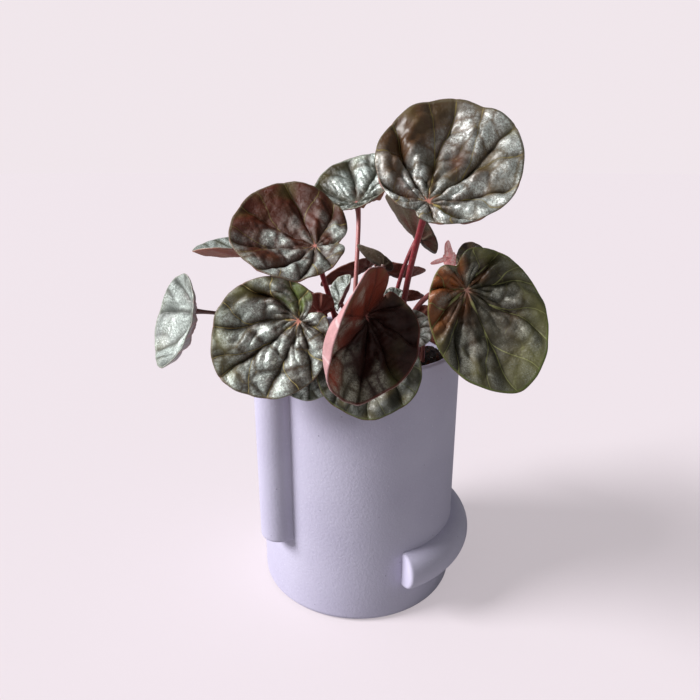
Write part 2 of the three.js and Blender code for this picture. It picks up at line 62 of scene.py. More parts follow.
class Wiring:
    """Adds nodes to one tree and joins them."""

    def __init__(self, tree: bpy.types.NodeTree) -> None:
        """Keeps the tree that the nodes go into.

        Args:
            tree: A shader or geometry node tree.
        """
        self.tree = tree

    def add(
        self, kind: str, feeds: dict[int | str, Feed] | None = None, **settings: object
    ) -> bpy.types.Node:
        """Adds a node.

        Args:
            kind: The node's type name.
            feeds: For inputs by name or number, a socket to join or a constant value.
            settings: Properties of the node itself.

        Returns:
            The new node.
        """
        node = self.tree.nodes.new(kind)
        for name, value in settings.items():
            setattr(node, name, value)
        for key, value in (feeds or {}).items():
            if isinstance(value, bpy.types.NodeSocket):
                self.join(value, node.inputs[key])
            else:
                node.inputs[key].default_value = value
        return node

    def join(self, value: bpy.types.NodeSocket, entry: bpy.types.NodeSocket) -> None:
        """Joins an output to an input."""
        self.tree.links.new(value, entry)

    def math(self, operation: str, first: Feed, second: Feed = 0.0) -> bpy.types.NodeSocket:
        """Adds a Math node and returns its result.

        Args:
            operation: The Math node's operation.
            first: The first value.
            second: The second value.

        Returns:
            The result's socket.
        """
        return self.add("ShaderNodeMath", {0: first, 1: second}, operation=operation).outputs[0]

    def times(self, first: Feed, second: Feed) -> bpy.types.NodeSocket:
        """The product of two values."""
        return self.math("MULTIPLY", first, second)

    def plus(self, first: Feed, second: Feed) -> bpy.types.NodeSocket:
        """The sum of two values."""
        return self.math("ADD", first, second)

    def ramp(
        self, value: Feed, low: float, high: float, start: float = 0.0, end: float = 1.0
    ) -> bpy.types.NodeSocket:
        """A smooth step of a value.

        Args:
            value: What is mapped.
            low: Where the step begins.
            high: Where it ends.
            start: The result at low.
            end: The result at high.

        Returns:
            The result's socket.
        """
        feeds = {0: value, 1: low, 2: high, 3: start, 4: end}
        return self.add("ShaderNodeMapRange", feeds, interpolation_type="SMOOTHSTEP").outputs[0]

    def mix(self, share: Feed, first: Feed, second: Feed) -> bpy.types.NodeSocket:
        """Mixes two colours.

        Args:
            share: How much of the second colour.
            first: A colour, as a socket or as red, green and blue.
            second: The other colour.

        Returns:
            The mixed colour's socket.
        """
        feeds = {0: share}
        for entry, tint in ((6, first), (7, second)):
            feeds[entry] = tint if isinstance(tint, bpy.types.NodeSocket) else (*tint, 1.0)
        return self.add("ShaderNodeMix", feeds, data_type="RGBA").outputs[2]

    def layers(self, base: Feed, *coats: tuple[Feed, Feed]) -> bpy.types.NodeSocket:
        """Lays colours over each other.

        Args:
            base: The lowest colour.
            coats: From below, how much each colour covers, and the colour.

        Returns:
            The colour that is seen.
        """
        for share, tint in coats:
            base = self.mix(share, base, tint)
        return base

    def noise(self, place: Feed, scale: float, detail: float, rough: float) -> bpy.types.NodeSocket:
        """A noise value from 0 to 1 at a place.

        Args:
            place: The vector it is read at.
            scale: How many waves a unit of the vector holds.
            detail: How many finer layers it has.
            rough: How strong those are.

        Returns:
            The noise's socket.
        """
        feeds = {"Vector": place, "Scale": scale, "Detail": detail, "Roughness": rough}
        return self.add("ShaderNodeTexNoise", feeds).outputs[0]

    def own_value(self, name: str) -> bpy.types.NodeSocket:
        """One of the mesh's own attributes, as a value."""
        return self.add("ShaderNodeAttribute", attribute_name=name).outputs["Fac"]

    def own_vector(self, name: str) -> bpy.types.NodeSocket:
        """One of the mesh's own attributes, as a vector."""
        return self.add("ShaderNodeAttribute", attribute_name=name).outputs["Vector"]

    def own_parts(self, name: str) -> bpy.types.bpy_prop_collection:
        """The three parts of one of the mesh's own vectors."""
        return self.add("ShaderNodeSeparateXYZ", {0: self.own_vector(name)}).outputs

    def keep(
        self, shape: bpy.types.NodeSocket, name: str, value: bpy.types.NodeSocket, domain: str
    ) -> bpy.types.NodeSocket:
        """Stores a value on a geometry for its finish.

        Args:
            shape: The geometry.
            name: The attribute's name.
            value: What is stored.
            domain: What it is stored on.

        Returns:
            The geometry with the attribute.
        """
        feeds = {"Geometry": shape, "Name": name, "Value": value}
        node = self.add("GeometryNodeStoreNamedAttribute", feeds, data_type="FLOAT", domain=domain)
        return node.outputs[0]

    def end(self, shape: bpy.types.NodeSocket, get: bpy.types.Node, put: bpy.types.Node) -> None:
        """Ends a geometry tree: everything is made real and gets the tree's material.

        Args:
            shape: The geometry.
            get: The tree's input node, with a Material.
            put: The tree's output node.
        """
        solid = self.add("GeometryNodeRealizeInstances", {0: shape}).outputs[0]
        feeds = {"Geometry": solid, "Material": get.outputs["Material"]}
        self.join(self.add("GeometryNodeSetMaterial", feeds).outputs[0], put.inputs[0])

    def object_place(self) -> bpy.types.NodeSocket:
        """The place on the object, in metres."""
        return self.add("ShaderNodeTexCoord").outputs["Object"]


def shader_group(name: str, inputs: dict[str, str], outputs: list[str]) -> tuple[Wiring, dict, dict]:
    """Starts a shader node group.

    Args:
        name: The group's name.
        inputs: Each input's name and kind, Float or Vector.
        outputs: The names of its value outputs.

    Returns:
        The wiring, the input sockets by name and the output sockets by name.
    """
    tree = bpy.data.node_groups.new(name, "ShaderNodeTree")
    for label, kind in inputs.items():
        tree.interface.new_socket(label, in_out="INPUT", socket_type=f"NodeSocket{kind}")
    for label in outputs:
        tree.interface.new_socket(label, in_out="OUTPUT", socket_type="NodeSocketFloat")
    wires = Wiring(tree)
    entry = wires.add("NodeGroupInput")
    leave = wires.add("NodeGroupOutput")
    return wires, {k: entry.outputs[k] for k in inputs}, {k: leave.inputs[k] for k in outputs}


# Each kind of vein: how broad its line and its furrow are, in vein widths, and how strong it is.
VEIN_KINDS = (("Rib", 1.0, 5.0, 1.0), ("Fork", 0.7, 4.0, 0.85), ("Cross", 0.5, 3.0, 0.28))
LINE_CORE = 0.35


class Effects:
    """The shader node groups that several finishes share."""

    def __init__(self) -> None:
        """Builds each group once."""
        self.veins = self._veins()
        self.grain = self._grain()
        self.specks = self._specks()

    @staticmethod
    def _veins() -> bpy.types.NodeTree:
        """Thin vein lines and the broader furrows that they lie in, from distances in millimetres.

        Returns:
            The node group.
        """
        labels = [kind[0] for kind in VEIN_KINDS] + ["Width"]
        wires, get, put = shader_group("Vein lines", dict.fromkeys(labels, "Float"), ["Line", "Furrow"])
        lines, furrows = [], []
        for label, thin, broad, strength in VEIN_KINDS:
            away = wires.math("DIVIDE", wires.math("ABSOLUTE", get[label]), get["Width"])
            lines.append(wires.ramp(away, LINE_CORE * thin, thin, strength, 0.0))
            furrows.append(wires.ramp(away, 0.0, broad, strength, 0.0))
        for label, parts in (("Line", lines), ("Furrow", furrows)):
            most = wires.math("MAXIMUM", wires.math("MAXIMUM", parts[0], parts[1]), parts[2])
            wires.join(most, put[label])
        return wires.tree

    @staticmethod
    def _grain() -> bpy.types.NodeTree:
        """Fine grain, patches and the mask of painted glints, at a place in millimetres.

        Returns:
            The node group.
        """
        wires, get, put = shader_group("Satin grain", {"Place": "Vector"}, ["Grain", "Patch", "Painted glint"])
        for label, scale, detail, rough, low, high in (
            ("Grain", 1.5, 4.0, 0.75, 0.41, 0.61),
            ("Patch", 0.22, 3.0, 0.55, 0.36, 0.64),
            ("Painted glint", 2.6, 2.0, 0.6, 0.58, 0.72),
        ):
            noise = wires.noise(get["Place"], scale, detail, rough)
            wires.join(wires.ramp(noise, low, high), put[label])
        return wires.tree

    @staticmethod
    def _specks() -> bpy.types.NodeTree:
        """Scattered round specks of uneven size.

        Returns:
            The node group.
        """
        inputs = {"Place": "Vector", "Scale": "Float", "Size": "Float"}
        wires, get, put = shader_group("Specks", inputs, ["Mask"])
        feeds = {"Vector": get["Place"], "Scale": get["Scale"]}
        cells = wires.add("ShaderNodeTexVoronoi", feeds).outputs
        pick = wires.add("ShaderNodeSeparateColor", {0: cells["Color"]}).outputs[0]
        size = wires.times(get["Size"], wires.ramp(pick, 0.65, 1.0))
        inside = wires.math("SUBTRACT", size, cells["Distance"])
        wires.join(wires.ramp(inside, 0.0, 0.06), put["Mask"])
        return wires.tree


def start_material(
    name: str, even: dict[str, Feed]
) -> tuple[bpy.types.Material, Wiring, bpy.types.Node]:
    """Makes a material with one Principled shader.

    Args:
        name: The material's name.
        even: The shader's inputs that are the same all over the surface.

    Returns:
        The material, its wiring and its Principled node.
    """
    material = bpy.data.materials.new(name)
    material.use_nodes = True
    shader = material.node_tree.nodes["Principled BSDF"]
    for label, value in even.items():
        shader.inputs[label].default_value = value
    return material, Wiring(material.node_tree), shader


def add_bump(
    wires: Wiring, shader: bpy.types.Node, height: Feed, strength: float, depth: float
) -> None:
    """Feeds a shader's normal from a height.

    Args:
        wires: The material's wiring.
        shader: The Principled node.
        height: The height's socket.
        strength: The bump's strength.
        depth: What a height of 1 stands for, in millimetres.
    """
    bump = wires.add("ShaderNodeBump", {"Strength": strength, "Distance": depth * MM, "Height": height})
    wires.join(bump.outputs[0], shader.inputs["Normal"])


# ---- Meshes


def in_scene(name: str, data: bpy.types.ID) -> bpy.types.Object:
    """Makes an object and puts it into the scene.

    Args:
        name: The object's name.
        data: Its mesh, lamp or camera.

    Returns:
        The object.
    """
    made = bpy.data.objects.new(name, data)
    bpy.context.scene.collection.objects.link(made)
    return made


def mesh_object(name: str, points: np.ndarray, faces: list[tuple[int, ...]]) -> bpy.types.Object:
    """Makes a smoothly shaded object from points in millimetres.

    Args:
        name: The object's name.
        points: The vertices, as rows of x, y and z.
        faces: The faces, as rows of vertex numbers.

    Returns:
        The object, in the scene.
    """
    mesh = bpy.data.meshes.new(name)
    mesh.from_pydata((points * MM).tolist(), [], faces)
    mesh.update()
    mesh.shade_smooth()
    return in_scene(name, mesh)


def store(piece: bpy.types.Object, name: str, values: np.ndarray) -> None:
    """Stores a value or a vector on each vertex.

    Args:
        piece: The mesh object.
        name: The attribute's name.
        values: One number, or three, for each vertex.
    """
    kind, key = ("FLOAT", "value") if values.ndim == 1 else ("FLOAT_VECTOR", "vector")
    attribute = piece.data.attributes.new(name, kind, "POINT")
    attribute.data.foreach_set(key, values.astype(np.float32).ravel())


def ringed_faces(rings: int, count: int) -> list[tuple[int, ...]]:
    """Triangles from vertex 0 to a ring round it, and quads from each ring to the next.

    Args:
        rings: How many rings there are.
        count: How many vertices a ring has.

    Returns:
        The faces.
    """
    ahead = [(i + 1) % count for i in range(count)]
    faces: list[tuple[int, ...]] = [(0, 1 + i, 1 + ahead[i]) for i in range(count)]
    for low in range(1, 1 + (rings - 1) * count, count):
        high = low + count
        faces += [(low + i, high + i, high + ahead[i], low + ahead[i]) for i in range(count)]
    return faces


def closed_faces(rings: int, count: int) -> list[tuple[int, ...]]:
    """The same faces, closed by triangles from the last ring to one more vertex.

    Args:
        rings: How many rings there are.
        count: How many vertices a ring has.

    Returns:
        The faces, which look outwards where the rings run from the top centre down.
    """
    last = 1 + rings * count
    tail = last - count
    return ringed_faces(rings, count) + [(last, tail + (i + 1) % count, tail + i) for i in range(count)]


def hand_over(piece: bpy.types.Object, node: str) -> None:
    """Gives a finished piece to the frame.

    Args:
        piece: The piece.
        node: The node that it stands for.
    """
    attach(piece, "root")
    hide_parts(node)
    LOG.info("%s: %d faces, in place of %s", piece.name, len(piece.data.polygons), node)


def baked(
    piece: bpy.types.Object, tree: bpy.types.NodeTree, values: dict[str, object]
) -> bpy.types.Object:
    """Runs a geometry node tree on an object and keeps the result as its plain mesh.

    Args:
        piece: The object.
        tree: The geometry node tree.
        values: What its named inputs are set to.

    Returns:
        The same object.
    """
    modifier = piece.modifiers.new("made", "NODES")
    modifier.node_group = tree
    for item in tree.interface.items_tree:
        if item.item_type == "SOCKET" and item.in_out == "INPUT" and item.name in values:
            modifier[item.identifier] = values[item.name]
    shown = piece.evaluated_get(bpy.context.evaluated_depsgraph_get())
    mesh = bpy.data.meshes.new_from_object(shown)
    piece.modifiers.remove(modifier)
    piece.data = mesh
    return piece


def geometry_tree(
    name: str, inputs: dict[str, tuple[str, object]]
) -> tuple[Wiring, bpy.types.Node, bpy.types.Node]:
    """Starts a geometry node tree with named inputs.

    Args:
        name: The tree's name.
        inputs: Each input's kind and default, by name.

    Returns:
        The wiring, the group input and the group output.
    """
    tree = bpy.data.node_groups.new(name, "GeometryNodeTree")
    tree.interface.new_socket("Geometry", in_out="INPUT", socket_type="NodeSocketGeometry")
    for label, (kind, default) in inputs.items():
        socket = tree.interface.new_socket(label, in_out="INPUT", socket_type=f"NodeSocket{kind}")
        if default is not None:
            socket.default_value = default
    tree.interface.new_socket("Geometry", in_out="OUTPUT", socket_type="NodeSocketGeometry")
    wires = Wiring(tree)
    return wires, wires.add("NodeGroupInput"), wires.add("NodeGroupOutput")


# ---- Leaves


class Grid(Enum):
    """How finely a blade is divided: steps from one main vein to the next, and rings."""

    LARGE = (24, 46)
    MIDDLE = (16, 30)
    SMALL = (12, 22)


VEINS = np.array([0.0, 38.0, 78.0, 122.0, 180.0])  # degrees from the tip, the same on both sides
SECTORS = len(VEINS) - 1
SWEEP = 0.18  # how far a vein bends towards the tip on its way out
WANDER = 0.075  # how far it strays to the sides
PUFF = 0.102  # height of the quilting between veins, as a share of the width
PUFF_SINK = 0.35  # how far a vein lies below the mean surface, as a share of the quilting
PUFF_RIM = 0.18  # how much of the quilting is left at the rim
RELIEF_RIM = 0.3  # how much of the finer relief is left there
RIB_REACH, FORK_REACH, CROSS_REACH = 1.0, 1.5, 1.0  # how far a large leaf's furrow reaches to its sides
RIB_FULL = 0.4  # the share of the way to the rim where main veins have their full depth
CROSS_FROM, CROSS_RISE = 0.12, 0.25  # where cross veins begin, and how soon they are full
FLAT_MIDDLE = 0.2  # the share of the way to the rim that is smoother
CRUMPLE_LENGTH = 7.0
FINE_CRUMPLE, FINE_LENGTH = 0.2, 3.0
ROOM_POWER = 0.6  # how fast a swelling loses height where there is little room
FULL_REACH = 0.45  # the reach, as a share of the width, at which a swelling has its full height
LARGE_WIDTH = 40.0  # the width from which furrows have their full size
WAVE = 0.6  # height of the rim's waves
WAVES = 3  # waves round the rim
FRILL = 0.006  # height of the rim's frills, as a share of the width
FRILLS = ((8, 1.0), (13, 0.6))  # frills round the rim and how strong they are
NICKS = ((7, 0.004), (12, 0.003), (23, 0.002))  # bays round the outline and how deep they are
TIP_SPREAD = 0.22
CREASE = 2.0  # how softly the blade turns up at its fold
SLIGHT = 0.01  # a curl too small to see, which keeps flat halves from dividing by nothing
FAR = 9.0  # stands for no cross vein near
BARE_STAR = 0.14  # the share of the way to the rim that shows no cross veins
UNGROWN = 3.0  # how much farther off a fork seems where it hasn't begun
CROSS_FAINT, CROSS_BACK = 1.6, 0.5  # how much farther off cross veins seem: times, and plus
BLADE_THICK = 0.9
EDGE_THIN = 0.7  # the rim's thickness, as a share of the middle's
SOIL_TOP = 104.0
STALK_SUNK = 6.0  # how deep a stalk stands in the soil
STALK_CLEAR = 2.0  # how far it rises straight out of it
STALK_STEPS = 48  # points along its curved stretch


def smooth_step(value: np.ndarray) -> np.ndarray:
    """A smooth step of each value from 0 to 1."""
    held = np.clip(value, 0.0, 1.0)
    return held * held * (3 - 2 * held)


def unit(vector: np.ndarray) -> np.ndarray:
    """Vectors scaled to a length of 1."""
    return vector / np.maximum(np.linalg.norm(vector, axis=-1, keepdims=True), 1e-12)


class Ripple:
    """A smooth uneven field of two coordinates, from a few waves with seeded directions."""

    def __init__(self, seed: int, length: float, waves: int = 7) -> None:
        """Draws the waves.

        Args:
            seed: The random seed.
            length: The mean wavelength, in millimetres.
            waves: How many waves are added up.
        """
        draw = np.random.default_rng(seed)
        turn = draw.uniform(0, 2 * math.pi, waves)
        size = 2 * math.pi / (length * draw.uniform(0.6, 1.6, waves))
        self.along = size * np.cos(turn)
        self.across = size * np.sin(turn)
        self.phase = draw.uniform(0, 2 * math.pi, waves)

    def at(self, x: np.ndarray, y: np.ndarray) -> np.ndarray:
        """The field's value, mostly from -1 to 1, at each point."""
        waves = np.sin(x[..., None] * self.along + y[..., None] * self.across + self.phase)
        return waves.sum(-1) / math.sqrt(len(self.phase) / 2) / 1.6


@dataclass(frozen=True)
class LeafFinish:
    """The colours and gloss of a leaf.

    A share runs from 0 to 1. A lean is how it changes towards the tip and towards the left side,
    and uneven is how much it changes by chance. Places on the blade are in its mean radii.
    """

    # The furrow colour is partly the veins' own darker tissue and partly painted shade in the creases.
    furrow: Colour = (0.034, 0.015, 0.006)
    ground: Colour = (0.072, 0.044, 0.014)
    # The leaf's own silvering, and a painted sheen laid where the blade faces the main light.
    silver_and_sheen: Colour = (0.86, 0.95, 0.89)
    warm: Colour = (0.090, 0.022, 0.008)
    line: Colour = (0.32, 0.25, 0.07)
    rim: Colour = (0.13, 0.10, 0.055)
    under: Colour = (0.24, 0.055, 0.055)
    under_line: Colour = (0.42, 0.16, 0.15)
    star: Colour = (0.62, 0.22, 0.20)
    # shine places the silver and the painted sheen; its lean lays the painted sheen on the side that
    # faces the light.
    shine: float = 0.45
    shine_lean: tuple[float, float] = (0.0, 0.0)
    shine_uneven: float = 0.45
    shine_length: float = 0.34
    vein_shine: float = 0.08  # how much silver and painted sheen is left on the veins
    crest_power: float = 1.8
    warmth: float = 0.25
    warmth_lean: tuple[float, float] = (0.0, 0.0)
    warmth_uneven: float = 0.25
    cloud_length: float = 0.6
    rough: float = 0.36
    frost_rough: float = 0.14
    furrow_rough: float = 0.15
    metal: float = 0.82
    vein_width: float = 0.26
    gloss: float = 0.14
    margin: Colour = (0.14, 0.14, 0.042)
    margin_share: float = 0.0
    margin_lean: tuple[float, float] = (0.0, 0.0)
    margin_uneven: float = 0.35
    margin_from: float = 0.5  # the share of the way to the rim where the margin's colour begins
    margin_rise: float = 0.45
    patch: Colour = (0.16, 0.06, 0.015)
    patch_at: tuple[float, float] = (0.0, 0.0)
    patch_size: float = 0.0
    patch_uneven: float = 0.3
    patch_below: float = 0.0  # how much of it shows on the lower face
    dulled: float = 0.6  # how much silver and painted sheen a patch or a margin takes away
    shadow: tuple[float, float] = (0.55, 0.55)  # share and brightness of the ground's darker clouds
    under_shadow: tuple[float, float] = (0.4, 0.6)
    furrow_share: float = 0.45
    furrow_fade: tuple[float, ...] = (0.05, 0.45, 0.3, 1.0)  # from where to where, and the two shares
    star_middle: tuple[float, ...] = (0.012, 0.042, 0.9, 0.0)  # the pale star over the stalk
    star_arms: tuple[float, ...] = (0.04, 0.14, 0.85, 0.0)
    rim_line: tuple[float, float] = (0.972, 0.99)
    line_share: float = 0.7
    # glow is emission in the leaf's own colour: a painted glow that stands for light shining through
    # thin tissue.
    glow: float = 0.0
    # Painted glints: bright specks laid into the colour as sparkling highlights, on the upper and the
    # lower face.
    painted_glint: Colour = (0.86, 0.88, 0.86)
    painted_glint_share: float = 0.6
    under_painted_glint: Colour = (0.75, 0.55, 0.55)
    under_painted_glint_share: float = 0.25
    under_furrow_share: float = 0.6
    under_rough: float = 0.55
    rim_share: float = 0.75
    coat_rough: float = 0.26
    specular: float = 0.28
    least_frosted_sheen: float = 0.35  # how much silver and painted sheen is left between the grains
    grain_height: float = 0.5
    pebble_height: float = 1.6
    bump: float = 0.7
    bump_depth: float = 0.16

    def make(self, name: str, effects: Effects) -> bpy.types.Material:
        """Builds the material.

        Args:
            name: The material's name.
            effects: The shared node groups.

        Returns:
            The material.
        """
        even = {
            "Coat Weight": self.gloss, "Coat Roughness": self.coat_rough,
            "Specular IOR Level": self.specular, "Emission Strength": self.glow,
        }
        material, wires, shader = start_material(name, even)
        rib, fork, cross = wires.own_parts("veins")
        s, silver_and_sheen, warmth = wires.own_parts("blade")
        margin, patch, upper = wires.own_parts("tints")
        flow = wires.own_vector("flow")
        feeds = {"Rib": rib, "Fork": fork, "Cross": cross, "Width": self.vein_width}
        veins = wires.add("ShaderNodeGroup", feeds, node_tree=effects.veins).outputs
        grain = wires.add("ShaderNodeGroup", {"Place": flow}, node_tree=effects.grain).outputs
        line = veins["Line"]
        furrow = wires.times(veins["Furrow"], wires.ramp(s, *self.furrow_fade))
        # The silver with its painted sheen, broken up by the grain.
        frosted_sheen = wires.times(silver_and_sheen, wires.ramp(grain["Grain"], 0.0, 1.0, self.least_frosted_sheen, 1.0))
        middle = wires.ramp(s, *self.star_middle)
        arms = wires.times(line, wires.ramp(s, *self.star_arms))
        shade, dark = self.shadow
        under_shade, under_dark = self.under_shadow
        above = wires.layers(
            self.ground,
            (wires.ramp(grain["Patch"], 0.0, 1.0, 0.0, shade), tuple(dark * c for c in self.ground)),
            (warmth, self.warm),
            (margin, self.margin),
            (patch, self.patch),
            # darker furrows: partly the veins' own colour, partly painted shade
            (wires.times(furrow, self.furrow_share), self.furrow),
            # The silver and its painted sheen, then painted glints over it.
            (frosted_sheen, self.silver_and_sheen),
            (wires.times(wires.times(grain["Painted glint"], silver_and_sheen), self.painted_glint_share), self.painted_glint),
            (wires.times(line, self.line_share), self.line),
            (wires.times(wires.ramp(s, *self.rim_line), self.rim_share), self.rim),
            (wires.math("MAXIMUM", middle, arms), self.star),
        )
        below = wires.layers(
            self.under,
            (
                wires.ramp(grain["Patch"], 0.0, 1.0, 0.0, under_shade),
                tuple(under_dark * c for c in self.under),
            ),
            (wires.times(patch, self.patch_below), self.patch),
            (wires.times(furrow, self.under_furrow_share), self.under_line),
            # painted glints on the lower face
            (wires.times(grain["Painted glint"], self.under_painted_glint_share), self.under_painted_glint),
        )
        skin = wires.mix(upper, below, above)
        wires.join(skin, shader.inputs["Base Color"])
        # The painted glow: the leaf's colour as emission, standing for light through thin tissue.
        if self.glow:
            wires.join(skin, shader.inputs["Emission Color"])
        wires.join(wires.times(frosted_sheen, self.metal), shader.inputs["Metallic"])
        matt = wires.plus(self.rough, wires.times(frosted_sheen, self.frost_rough))
        matt = wires.plus(matt, wires.times(furrow, self.furrow_rough))
        matt = wires.math("MAXIMUM", matt, wires.ramp(upper, 0.0, 1.0, self.under_rough, 0.0))
        wires.join(matt, shader.inputs["Roughness"])
        pebbles = wires.noise(flow, 0.75, 3.0, 0.6)
        grains = wires.times(grain["Grain"], self.grain_height)
        height = wires.plus(grains, wires.times(pebbles, self.pebble_height))
        add_bump(wires, shader, height, self.bump, self.bump_depth)
        return material


@dataclass(frozen=True)
class StalkFinish:
    """The colours of a stalk, from its foot to the blade, with pale streaks and darker flecks."""

    name: str
    foot: Colour = (0.15, 0.045, 0.035)
    head: Colour = (0.27, 0.028, 0.040)
    fleck: Colour = (0.06, 0.008, 0.010)
    pale: Colour = (0.42, 0.18, 0.16)
    streak_scale: float = 900.0
    streak_share: float = 0.35
    fleck_scale: float = 1500.0
    fleck_size: float = 0.34
    fleck_share: float = 0.6
    flesh: float = 0.12
    flesh_depth: Place = (0.002, 0.0006, 0.0005)  # for red, green and blue light, in metres
    rough: tuple[float, float] = (0.38, 0.52)
    bump: float = 0.35
    bump_depth: float = 0.08

    def make(self, effects: Effects) -> bpy.types.Material:
        """Builds the material.

        Args:
            effects: The shared node groups.

        Returns:
            The material.
        """
        even = {"Subsurface Weight": self.flesh, "Subsurface Radius": self.flesh_depth}
        material, wires, shader = start_material(self.name, even)
        place = wires.object_place()
        streaks = wires.ramp(wires.noise(place, self.streak_scale, 3.0, 0.6), 0.45, 0.75)
        feeds = {"Place": place, "Scale": self.fleck_scale, "Size": self.fleck_size}
        flecks = wires.add("ShaderNodeGroup", feeds, node_tree=effects.specks).outputs[0]
        colour = wires.layers(
            self.foot,
            (wires.ramp(wires.own_value("along"), 0.1, 0.8), self.head),
            (wires.times(streaks, self.streak_share), self.pale),
            (wires.times(flecks, self.fleck_share), self.fleck),
        )
        wires.join(colour, shader.inputs["Base Color"])
        wires.join(wires.ramp(streaks, 0.0, 1.0, *self.rough), shader.inputs["Roughness"])
        add_bump(wires, shader, streaks, self.bump, self.bump_depth)
        return material


class Stem(Enum):
    """The kinds of stalk."""

    CRIMSON = StalkFinish("crimson stalk")
    PINK = StalkFinish("pink stalk", foot=(0.28, 0.10, 0.08), head=(0.46, 0.15, 0.15))
    BROWN = StalkFinish("brown stalk", foot=(0.12, 0.05, 0.04), head=(0.16, 0.085, 0.075))


